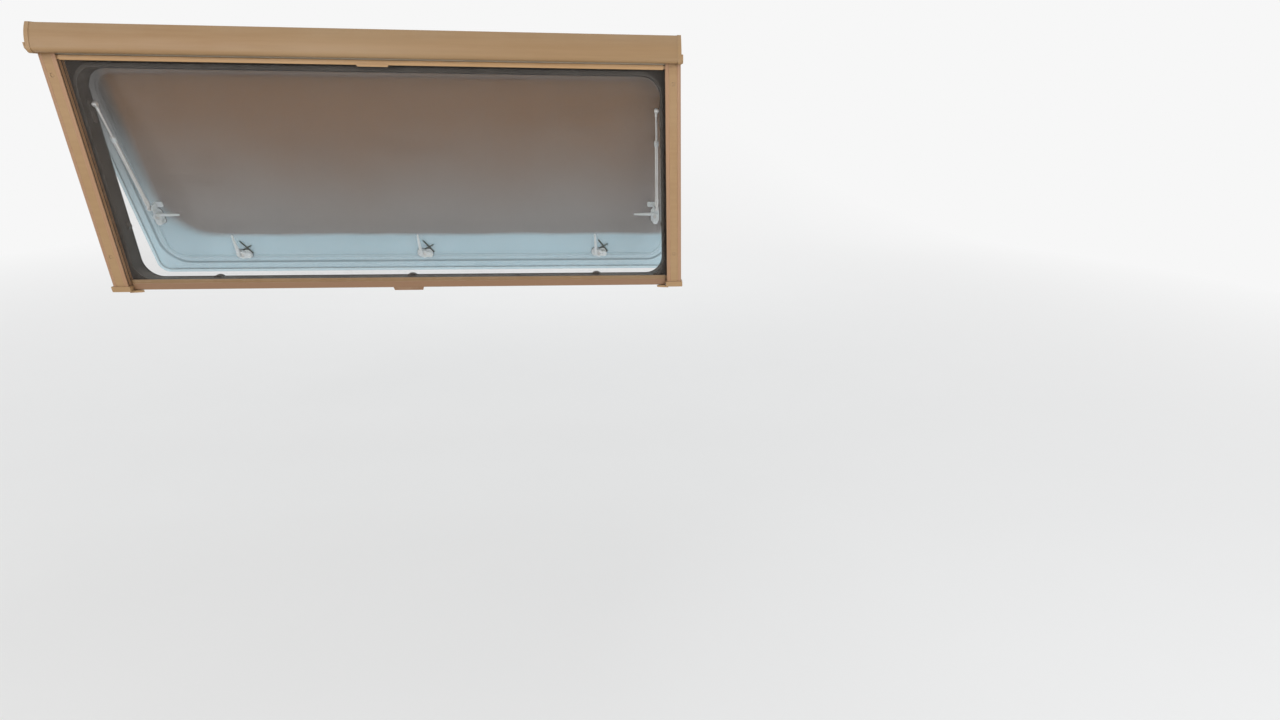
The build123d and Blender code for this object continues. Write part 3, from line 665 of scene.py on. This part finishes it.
# Finish of each slot: the material's name, the function that draws it, and its values
FINISHES = {
    "aged_plastic": ("aged_cream_plastic", draw_aged_plastic),
    "frame_plastic": ("dark_frame_foam", draw_frame_foam),
    "catch_plastic": ("milky_catch_plastic", draw_milky_plastic),
    "keeper_plastic": ("brown_keeper_plastic", draw_keeper_plastic),
    "acrylic_outer": ("smoked_acrylic", draw_smoked_sheet),
    "acrylic_inner": ("formed_acrylic", draw_inner_sheet),
    "seal_rubber": ("seal_rubber", draw_seal_rubber),
    "aluminium": ("anodised_rail", draw_anodised, 0.58, (0.02, 1, 1)),
    "stay_metal": ("stay_tube_metal", draw_anodised, 0.96, (1, 0.06, 0.06), 0.6),
    "roller_metal": ("roller_tube_metal", draw_anodised, 0.55, (0.02, 1, 1)),
    "mesh": ("flyscreen_mesh", draw_mesh_cloth),
    "blackout": ("blackout_cloth", draw_blackout_cloth),
}

# Parts whose slot's finish has its own strips or tone; the darker tones of the flyscreen bar and the cassette
# carry painted shade, the blackout bar's lighter one a painted highlight
SPECIAL = {
    "side_rail_left": ("aged_rail_plastic", rail_strips, 1.0),
    "side_rail_right": ("aged_rail_plastic", rail_strips, 1.0),
    # A darker tone, partly the bar's own and partly painted shade
    "screen_bar": ("aged_bar_plastic", bar_foot, 0.70),
    # A lighter tone: a painted highlight
    "blackout_bar": ("aged_bright_bar_plastic", None, 1.4),
    # A darker tone: painted shade
    "blind_cassette": ("aged_cassette_plastic", None, 0.88),
    "cassette_end_left": ("aged_cap_plastic", None, 0.94),
    "cassette_end_right": ("aged_cap_plastic", None, 0.94),
}


def draw_brush_pile(tree, shader, point):
    """Dark brush pile of the seals in the rails' grooves, with single lighter fibres."""
    fibres = noise(point, 2600.0, 2.0, stretch=(0.15, 1, 1))
    tone = between(ramp(fibres, 0.4, 0.65), (0.035, 0.032, 0.028), (0.12, 0.105, 0.09))
    dusty = use_group(
        tree, "Settled dust", Colour=tone, Dust_Colour=(0.30, 0.27, 0.23), Amount=0.5)
    feed(shader, Base_Color=dusty["Colour"], Normal=bump(fibres, 0.0002, 0.8),
         Roughness=ramp(fibres, 0.3, 0.7, 0.8, 0.95))


def draw_painted_catch_shade(tree, shader, point):
    """Dark grey-green plastic behind the low catches, painted shade of each catch on the pane, rubbed on its
    edges.
    """
    mottle = between(ramp(noise(point, 150.0, 4.0), 0.35, 0.65),
                     (0.036, 0.050, 0.043), (0.075, 0.096, 0.082))
    worn = worn_edges(mottle, (0.22, 0.25, 0.23), (0.02, 0.02, 0.018), 0.0005, 0.5, 0.5)
    grain = use_group(tree, "Moulded grain", Grain_Scale=1600.0, Depth=0.00002, Unevenness=0.5)
    feed(shader, Base_Color=worn["Colour"], Normal=grain["Normal"],
         Roughness=ramp(grain["Mask"], 0.3, 0.7, 0.38, 0.52))


def draw_butyl(tree, shader, point):
    """Grey butyl sealant: soft, dull, with dimples and stuck dust."""
    lumps = noise(point, 85.0, 4.0, 0.6)
    tone = between(ramp(lumps, 0.35, 0.65), (0.16, 0.155, 0.145), (0.26, 0.25, 0.235))
    dusty = use_group(
        tree, "Settled dust", Colour=tone, Dust_Colour=(0.38, 0.34, 0.29), Amount=0.7)
    feed(shader, Base_Color=dusty["Colour"], Normal=bump(lumps, 0.0008, 0.6),
         Roughness=ramp(lumps, 0.3, 0.7, 0.5, 0.75))


def draw_bonding_resin(tree, shader, point):
    """Clear resin bead along the inner sheet's edge, cloudy with small bubbles."""
    cells = add(tree, "TexVoronoi", {"Vector": point, "Scale": 420.0})
    bubbles = ramp(cells.outputs["Distance"], 0.12, 0.3)
    cloud = ramp(noise(point, 30.0, 3.0), 0.3, 0.7)
    tone = between(cloud, (0.30, 0.36, 0.37), (0.48, 0.56, 0.58))
    feed(shader, Base_Color=between(bubbles, (0.62, 0.68, 0.69), tone),
         Alpha=ramp(cloud, 0, 1, 0.55, 0.75), IOR=1.49,
         Roughness=ramp(bubbles, 0, 1, 0.3, 0.12))


# Pieces

def material_of(slot):
    """The material made for one of the record's slots."""
    node = next(p["node"] for p in frame["record"]["subparts"]
                if p["material_slot"] == slot and p["node"] not in SPECIAL)
    return NODES[node].data.materials[0]


def object_of(name, shape, material):
    """Makes a smooth object of a bmesh."""
    bmesh.ops.recalc_face_normals(shape, faces=shape.faces)
    mesh = bpy.data.meshes.new(name)
    shape.to_mesh(mesh)
    shape.free()
    mesh.materials.append(material)
    mesh.shade_smooth()
    made = bpy.data.objects.new(name, mesh)
    bpy.context.scene.collection.objects.link(made)
    return made


def finish_piece(name, shape, body, slot, material=None, sharp=35.0):
    """Makes a piece of a bmesh, with its own material or its slot's, on a body. A piece that
    blends between two bodies is given none here."""
    piece = object_of(name, shape, material or material_of(slot))
    piece.data.set_sharp_from_angle(angle=math.radians(sharp))
    if body:
        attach(piece, body)
    return piece


def flat_grid(wide, tall, columns=1, rows=1):
    """A flat grid about the origin."""
    grid = bmesh.new()
    bmesh.ops.create_grid(grid, x_segments=columns, y_segments=rows, size=0.5)
    bmesh.ops.scale(grid, vec=(wide, tall, 1), verts=grid.verts)
    return grid


def hanging_sheet(node, columns, rows):
    """A grid as wide and tall as a node's box, upright at the box's middle depth."""
    low, high = (Vector(corner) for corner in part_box(node))
    sheet = flat_grid(high.x - low.x, high.z - low.z, columns, rows)
    bmesh.ops.rotate(
        sheet, verts=sheet.verts, matrix=Matrix.Rotation(math.radians(90), 3, "X"))
    bmesh.ops.translate(sheet, vec=(low + high) / 2, verts=sheet.verts)
    return sheet, low, high


def give_thickness(piece, thick):
    """Gives a cloth its thickness, half to each side."""
    shell = piece.modifiers.new("cloth thickness", "SOLIDIFY")
    shell.thickness = thick
    shell.offset = 0


def turned_part(profile, steps=28):
    """A solid turned about Z, from (radius, height) points in millimetres, which start and end
    on the axis."""
    part = bmesh.new()
    points = [part.verts.new((radius / 1000, 0, height / 1000)) for radius, height in profile]
    line = [part.edges.new(pair) for pair in zip(points, points[1:])]
    bmesh.ops.spin(part, geom=points + line, cent=(0, 0, 0), axis=(0, 0, 1),
                   angle=2 * math.pi, steps=steps, use_merge=True)
    bmesh.ops.remove_doubles(part, verts=part.verts, dist=1e-6)
    return part


def rounded_face(wide, tall, corner_round, steps=8):
    """A flat face with rounded corners about the origin."""
    part = flat_grid(wide, tall)
    bmesh.ops.bevel(part, geom=part.verts[:], offset=corner_round, segments=steps, profile=0.5,
                    affect="VERTICES", material=-1)
    return part


def thicken(part, thick, round_edge=0.0):
    """Gives a flat face a thickness along Z, from Z = 0, and rounds its upper edges."""
    bmesh.ops.solidify(part, geom=part.faces[:], thickness=thick)
    bottom = min(vert.co.z for vert in part.verts)
    bmesh.ops.translate(part, vec=(0, 0, -bottom), verts=part.verts)
    if round_edge:
        top = [edge for edge in part.edges
               if all(vert.co.z > thick * 0.9 for vert in edge.verts)
               and any(abs(face.normal.z) < 0.5 for face in edge.link_faces)]
        bmesh.ops.bevel(part, geom=top, offset=round_edge, segments=3, profile=0.5,
                        affect="EDGES", material=-1)
    return part


def rounded_ring(wide, tall, corner_round, band, thick, round_edge):
    """A flat ring with rounded corners, its outer size given, from Z = 0 up."""
    part = rounded_face(wide, tall, corner_round)
    made = bmesh.ops.inset_region(
        part, faces=part.faces[:], thickness=band, use_boundary=True, use_even_offset=True)
    kept = set(made["faces"])
    bmesh.ops.delete(part, geom=[f for f in part.faces if f not in kept], context="FACES")
    return thicken(part, thick, round_edge)


def put(whole, part, place):
    """Moves a small part to its place and adds it to the whole."""
    bmesh.ops.recalc_face_normals(part, faces=part.faces)
    bmesh.ops.transform(part, matrix=place, verts=part.verts)
    mesh = bpy.data.meshes.new("small_part")
    part.to_mesh(mesh)
    part.free()
    whole.from_mesh(mesh)
    bpy.data.meshes.remove(mesh)


def standing(place, way):
    """From a part's own frame to a place, with its Z turned to a way."""
    return Matrix.Translation(place) @ way.to_track_quat("Z", "X").to_matrix().to_4x4()


def catch_place(x, z, turn, across, along, out):
    """From a catch's own frame, X across, Y along the lever, Z to the room, to its place."""
    return (AJAR_TURN @ Matrix.Translation((x, DISH_FACE, z)) @ ROOM_SIDE
            @ Matrix.Rotation(math.radians(turn), 4, "Z")
            @ Matrix.Translation((across, along, out)))


class WINDOW_OT_finishes(bpy.types.Operator):
    """Build the shared effects and give each part of the frame its finish"""
    bl_idname = "window.finishes"
    bl_label = "Finishes"

    def execute(self, context):
        for build in (build_edge_wear, build_grain, build_dust, build_smears, build_weave,
                      build_pane_border):
            build()
        slots = {part["node"]: part["material_slot"] for part in frame["record"]["subparts"]}
        made = {slot: make_material(*FINISHES[slot]) for slot in sorted(set(slots.values()))}
        for name, band, tone in dict.fromkeys(SPECIAL.values()):
            made[name] = make_material(name, draw_aged_plastic, band, tone)
        for node, slot in slots.items():
            mesh = NODES[node].data
            mesh.materials.clear()
            mesh.materials.append(made[SPECIAL[node][0] if node in SPECIAL else slot])
        return {"FINISHED"}


class WINDOW_OT_cover_caps(bpy.types.Operator):
    """Press a dished cover cap over each of the rails' four screws"""
    bl_idname = "window.cover_caps"
    bl_label = "Cover caps"

    def execute(self, context):
        caps = bmesh.new()
        radius = size("cap_radius") * 1000
        profile = ((0, 2.1), (1.9, 2.15), (2.4, 2.55), (radius - 0.8, 2.7), (radius - 0.25, 2.45),
                   (radius, 1.9), (radius, 0.1), (0, 0.1))
        for x in (-SCREW_X, SCREW_X):
            for z in (-SCREW_Z, SCREW_Z):
                put(caps, turned_part(profile),
                    Matrix.Translation((x, SCREW_FACE, z)) @ ROOM_SIDE)
        finish_piece("screw_cover_caps", caps, "frame", "aged_plastic")
        return {"FINISHED"}


class WINDOW_OT_brush_seals(bpy.types.Operator):
    """Line the grooves of the rails with strips of brush pile"""
    bl_idname = "window.brush_seals"
    bl_label = "Brush seals"

    def execute(self, context):
        low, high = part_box("side_rail_left")
        long = high[2] - low[2] - PILE_SHORT
        pile = bmesh.new()
        for side in (-1, 1):
            for groove in GROOVES:
                for wall in (-1, 1):
                    strip = flat_grid(PILE_WIDE, long, 2, 150)
                    for vert in strip.verts:
                        if vert.co.x < -PILE_WIDE / 4:
                            ragged = solid_noise.noise(Vector((vert.co.y * 900, side, groove * 90)))
                            vert.co.x += PILE_FRAY * ragged
                            vert.co.z += PILE_THICK / 5 * ragged
                    deep = groove + wall * PILE_OFF_MIDDLE + PILE_THICK / 2
                    put(pile, thicken(strip, PILE_THICK),
                        Matrix.Translation((side * PILE_X, deep, (low[2] + high[2]) / 2))
                        @ ROOM_SIDE @ Matrix.Diagonal((side, 1, 1, 1)))
        finish_piece("brush_seals", pile, "frame", "seal_rubber",
                     make_material("brush_pile", draw_brush_pile))
        return {"FINISHED"}


class WINDOW_OT_catch_fittings(bpy.types.Operator):
    """Add each catch's pivot rivet and gasket, and behind the low ones dark arms that paint the catch's shade on
    the pane
    """
    bl_idname = "window.catch_fittings"
    bl_label = "Catch fittings"

    def execute(self, context):
        rivets = bmesh.new()
        gaskets = bmesh.new()
        catch_shades = bmesh.new()
        head = ((0, 1.5), (0.7, 1.5), (1.0, 1.95), (2.4, 1.75), (3.5, 1.15), (4.1, 0.5), (4.1, 0),
                (0, 0))
        for x, z, turn, hand in CATCHES:
            aside = hand * HUB_ASIDE
            put(rivets, turned_part(head), catch_place(x, z, turn, aside, 0, HUB_HIGH))
            put(gaskets, rounded_ring(*GASKET), catch_place(x, z, turn, aside, GASKET_ALONG, 0))
            if turn:
                continue
            for start, end, wide in CATCH_SHADE_ARMS:
                run = Vector(end) - Vector(start)
                middle = (Vector(start) + Vector(end)) / 2
                arm = rounded_face(run.length, wide, wide * 0.48, 5)
                put(catch_shades, thicken(arm, CATCH_SHADE_THICK, 0.0005),
                    catch_place(x, z, turn, middle.x, middle.y, CATCH_SHADE_HIGH)
                    @ Matrix.Rotation(math.atan2(run.y, run.x), 4, "Z"))
        finish_piece("catch_rivets", rivets, "pane", "stay_metal")
        finish_piece("catch_gaskets", gaskets, "pane", "seal_rubber")
        finish_piece("catch_springs", catch_shades, "pane", "keeper_plastic",
                     make_material("dark_spring_plastic", draw_painted_catch_shade))
        return {"FINISHED"}


class WINDOW_OT_stay_collars(bpy.types.Operator):
    """Fit a ribbed grip over each stay's locking collar"""
    bl_idname = "window.stay_collars"
    bl_label = "Stay collars"

    def execute(self, context):
        way = (STAY_PIN - STAY_ANCHOR).normalized()
        place = STAY_ANCHOR + way * COLLAR_ALONG
        for name, side in (("left", -1), ("right", 1)):
            grip = bmesh.new()
            bmesh.ops.create_cone(grip, cap_ends=True, segments=2 * GRIP_RIBS, radius1=GRIP_RADIUS,
                                  radius2=GRIP_RADIUS, depth=GRIP_LONG)
            for vert in grip.verts:
                turn = round(math.atan2(vert.co.y, vert.co.x) / math.pi * GRIP_RIBS)
                if turn % 2:
                    vert.co.x *= GRIP_GROOVE
                    vert.co.y *= GRIP_GROOVE
            for face in [face for face in grip.faces if abs(face.normal.z) > 0.9]:
                outward = face.normal.z
                made = bmesh.ops.extrude_discrete_faces(grip, faces=[face])["faces"]
                rim = [vert for new in made for vert in new.verts]
                bmesh.ops.translate(grip, vec=(0, 0, outward * GRIP_END), verts=rim)
                bmesh.ops.scale(grip, vec=(GRIP_NARROW, GRIP_NARROW, 1), verts=rim)
            bmesh.ops.transform(
                grip, matrix=standing((side * STAY_X, place.y, place.z), way), verts=grip.verts)
            finish_piece("stay_grip_" + name, grip, "stay_tube_" + name, "catch_plastic",
                         sharp=25.0)
        return {"FINISHED"}


class WINDOW_OT_sealants(bpy.types.Operator):
    """Run the resin bead round the inner sheet, and butyl behind the frame's flange"""
    bl_idname = "window.sealants"
    bl_label = "Sealants"

    def execute(self, context):
        bead = bmesh.new()
        (x, z), (half_wide, half_tall), corner_round = SHEET_EDGE
        put(bead, rounded_ring(2 * (half_wide + RESIN_PAST), 2 * (half_tall + RESIN_PAST),
                               corner_round + RESIN_PAST, RESIN_WIDE, RESIN_WIDE, 0.0012),
            AJAR_TURN @ Matrix.Translation((x, RESIN_FACE, HINGE.z + z)) @ ROOM_SIDE)
        finish_piece("resin_bead", bead, "pane", "acrylic_inner",
                     make_material("bonding_resin", draw_bonding_resin))
        low, high = (Vector(corner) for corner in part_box("outer_frame"))
        butyl = bmesh.new()
        wide, _, tall = high - low - 2 * Vector((BUTYL_INSIDE, 0, BUTYL_INSIDE))
        ring = rounded_ring(wide, tall, BUTYL_ROUND, BUTYL_WIDE, BUTYL_THICK, 0.0008)
        bmesh.ops.subdivide_edges(
            ring, edges=[e for e in ring.edges if e.calc_length() > 0.1], cuts=60)
        for vert in ring.verts:
            vert.co.z *= 1.0 + BUTYL_UNEVEN * solid_noise.noise(vert.co * 38.0)
        put(butyl, ring, Matrix.Translation((0, BUTYL_FACE, (low.z + high.z) / 2)) @ ROOM_SIDE)
        finish_piece("butyl_bead", butyl, "frame", "seal_rubber",
                     make_material("butyl_sealant", draw_butyl))
        return {"FINISHED"}


class WINDOW_OT_hinge_rivets(bpy.types.Operator):
    """Set a row of rivets in the sloping face of the hinge rail"""
    bl_idname = "window.hinge_rivets"
    bl_label = "Hinge rivets"

    def execute(self, context):
        rivets = bmesh.new()
        head = ((0, 1.1), (1.3, 1.05), (2.4, 0.7), (3.0, 0.2), (3.0, -0.3), (0, -0.3))
        for step in range(-3, 4):
            put(rivets, turned_part(head, 20),
                standing((step * RIVET_STEP, RIVET_Y, RIVET_Z), RIVET_WAY))
        finish_piece("hinge_rivets", rivets, "frame", "stay_metal")
        return {"FINISHED"}


class WINDOW_OT_flyscreen(bpy.types.Operator):
    """Stretch the flyscreen between the cassette and its bar"""
    bl_idname = "window.flyscreen"
    bl_label = "Flyscreen"

    def execute(self, context):
        sheet, low, high = hanging_sheet("screen_fabric", columns=60, rows=26)
        for vert in sheet.verts:
            across = (vert.co.x - low.x) / (high.x - low.x)
            down = (high.z - vert.co.z) / (high.z - low.z)
            slack = math.sin(math.pi * across) * math.sin(math.pi * down)
            ripple = math.sin(9.0 * math.pi * across + 2.0 * down)
            vert.co.y += SCREEN_RIPPLE * slack * ripple
        piece = finish_piece("flyscreen", sheet, "frame", "mesh")
        give_thickness(piece, SCREEN_THICK)
        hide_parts("screen_fabric")
        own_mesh(piece)
        return {"FINISHED"}


class WINDOW_OT_blackout(bpy.types.Operator):
    """Hang the end of the blackout fabric between the cassette and its bar"""
    bl_idname = "window.blackout"
    bl_label = "Blackout fabric"

    def execute(self, context):
        sheet, low, high = hanging_sheet("blackout_fabric", columns=40, rows=24)
        piece = finish_piece("blackout_cloth", sheet, None, "blackout")
        give_thickness(piece, BLACKOUT_THICK)
        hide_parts("blackout_fabric")
        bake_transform(piece)
        return {"FINISHED"}


# Stage

# Camera, as fitted to the photograph: its place, its turns, its focal length and the picture's
# width in pixels, and the sensor's width in millimetres
CAMERA_PLACE = (0.6093, -2.0588, 0.1956)
CAMERA_YAW = -0.1017
CAMERA_PITCH = -0.4314
CAMERA_ROLL = -0.0143
PHOTO_FOCAL = 491.18
PHOTO_WIDTH = 1280
SENSOR = 36.0
# How much longer the lens is than the photograph's, and the shift that keeps the window in view
CLOSER = 1.5
SHIFT = (-0.052, 0.055)

# Floor and backdrop: half their width, the floor's front and back edge, the round sweep between
# them, the backdrop's height, and the white that they fade to
STAGE_HALF = 9.0
FLOOR_FRONT = -7.0
FLOOR_BACK = 3.4
SWEEP_ROUND = 1.6
SWEEP_STEPS = 12
BACKDROP_TALL = 7.0
NEARLY_WHITE = (0.93, 0.93, 0.93)

# Lamps: name, place, aim, power in watts, width and colour
LAMPS = (
    ("key_light", (-1.6, -2.6, 1.2), (0, 0, 0), 31.0, 1.8, (1.0, 0.97, 0.93)),
    ("fill_light", (2.2, -2.5, 0.1), (0, 0, -0.1), 27.0, 1.8, (0.96, 0.98, 1.0)),
    ("back_light", (0.4, 2.9, 1.7), (0, 0.2, -0.2), 38.0, 2.2, (0.95, 0.98, 1.0)),
)


def shine_through(tree, lit, seen):
    """The lit shader for light, and the plain seen one for camera, mirror and glass rays."""
    path = add(tree, "LightPath").outputs
    rays = maths("MAXIMUM", path["Is Camera Ray"], path["Is Glossy Ray"])
    rays = maths("MAXIMUM", rays, path["Is Transmission Ray"])
    return add(tree, "MixShader", {0: rays, 1: lit, 2: seen}).outputs[0]


def draw_backdrop_paper(tree, shader, point):
    """Pale paper that shows the window's shadow and turns to plain white further away."""
    base = colour("floor")
    clouds = ramp(noise(point, 3.0, 2.0), 0.3, 0.7)
    feed(shader, Roughness=0.9,
         Base_Color=between(clouds, base, toned(base, (0.985, 0.985, 0.985))))
    lit = tree.nodes["Principled BSDF"].outputs[0]
    glow = add(tree, "Emission", {"Color": NEARLY_WHITE, "Strength": 1.0})
    far = ramp(vector_maths("LENGTH", point), 1.2, 5.0, 0.42, 1.0)
    paler = add(tree, "MixShader", {0: far, 1: lit, 2: glow.outputs[0]})
    feed(tree.nodes["Material Output"].inputs,
         Surface=shine_through(tree, lit, paler.outputs[0]))


def set_backdrop():
    """A floor that sweeps up into a backdrop."""
    drop = -size("floor_drop")
    outline = [(FLOOR_FRONT, drop), (FLOOR_BACK, drop)]
    for step in range(1, SWEEP_STEPS + 1):
        turn = math.radians(90 * step / SWEEP_STEPS)
        outline.append((FLOOR_BACK + SWEEP_ROUND * math.sin(turn),
                        drop + SWEEP_ROUND - SWEEP_ROUND * math.cos(turn)))
    outline.append((FLOOR_BACK + SWEEP_ROUND, drop + BACKDROP_TALL))
    sweep = bmesh.new()
    profile = [sweep.verts.new((-STAGE_HALF, y, z)) for y, z in outline]
    edges = [sweep.edges.new(pair) for pair in zip(profile, profile[1:])]
    drawn = bmesh.ops.extrude_edge_only(sweep, edges=edges)
    moved = [v for v in drawn["geom"] if isinstance(v, bmesh.types.BMVert)]
    bmesh.ops.translate(sweep, vec=(2 * STAGE_HALF, 0, 0), verts=moved)
    backdrop = object_of("backdrop", sweep, make_material("backdrop_paper", draw_backdrop_paper))


def set_world(scene):
    """Soft light from all around, seen as plain white."""
    world = bpy.data.worlds.new("soft_room")
    scene.world = world
    world.use_nodes = True
    tree = world.node_tree
    tree.nodes.clear()
    lit = add(tree, "Background", {"Color": (0.95, 0.97, 1.0), "Strength": 0.55})
    seen = add(tree, "Background", {"Color": NEARLY_WHITE, "Strength": 1.0})
    add(tree, "OutputWorld", {
        "Surface": shine_through(tree, lit.outputs[0], seen.outputs[0])})


def set_lamps(scene):
    """Three wide lamps: two in front and one behind."""
    for name, place, aim, power, wide, lamp_colour in LAMPS:
        lamp = bpy.data.lights.new(name, "AREA")
        lamp.energy = power
        lamp.size = wide
        lamp.color = lamp_colour
        light = bpy.data.objects.new(name, lamp)
        light.location = place
        light.rotation_euler = (Vector(aim) - Vector(place)).to_track_quat("-Z", "Y").to_euler()
        scene.collection.objects.link(light)


def set_camera(scene):
    """The camera, which looks along +Y turned by the roll, the pitch and the yaw."""
    lens = bpy.data.cameras.new("camera")
    lens.sensor_width = SENSOR
    lens.lens = PHOTO_FOCAL * CLOSER / PHOTO_WIDTH * SENSOR
    lens.shift_x = SHIFT[0]
    lens.shift_y = SHIFT[1]
    lens.clip_end = 50
    turn = (Matrix.Rotation(CAMERA_YAW, 3, "Z") @ Matrix.Rotation(CAMERA_PITCH, 3, "X")
            @ Matrix.Rotation(CAMERA_ROLL, 3, "Y") @ Matrix.Rotation(math.radians(90), 3, "X"))
    camera = bpy.data.objects.new("camera", lens)
    camera.matrix_world = Matrix.Translation(CAMERA_PLACE) @ turn.to_4x4()
    scene.collection.objects.link(camera)
    scene.camera = camera


class WINDOW_OT_stage(bpy.types.Operator):
    """Set up the pale floor, the soft light and the camera at the photograph's angle"""
    bl_idname = "window.stage"
    bl_label = "Stage"

    def execute(self, context):
        context.scene.view_settings.view_transform = "Standard"
        set_backdrop()
        set_world(context.scene)
        set_lamps(context.scene)
        set_camera(context.scene)
        return {"FINISHED"}


ORDER = (
    WINDOW_OT_stage, WINDOW_OT_finishes, WINDOW_OT_flyscreen, WINDOW_OT_blackout,
    WINDOW_OT_cover_caps, WINDOW_OT_brush_seals, WINDOW_OT_catch_fittings,
    WINDOW_OT_stay_collars, WINDOW_OT_sealants, WINDOW_OT_hinge_rivets)


class WINDOW_PT_panel(bpy.types.Panel):
    """The window's pieces, sizes and colours"""
    bl_idname = "WINDOW_PT_panel"
    bl_label = "Motorhome side window"
    bl_space_type = "VIEW_3D"
    bl_region_type = "UI"
    bl_category = "Window"

    def draw(self, context):
        for group in (context.scene.window_sizes, context.scene.window_colours):
            for key in group.__annotations__:
                self.layout.prop(group, key)
        for operator in ORDER:
            self.layout.operator(operator.bl_idname)


CLASSES = (WindowColours, WindowSizes, *ORDER, WINDOW_PT_panel)


def register():
    for each in CLASSES:
        bpy.utils.register_class(each)
    bpy.types.Scene.window_colours = PointerProperty(type=WindowColours)
    bpy.types.Scene.window_sizes = PointerProperty(type=WindowSizes)


def unregister():
    del bpy.types.Scene.window_sizes
    del bpy.types.Scene.window_colours
    for each in reversed(CLASSES):
        bpy.utils.unregister_class(each)


def main():
    register()
    for operator in ORDER:
        family, name = operator.bl_idname.split(".")
        getattr(getattr(bpy.ops, family), name)()


if __name__ == "__main__":
    main()
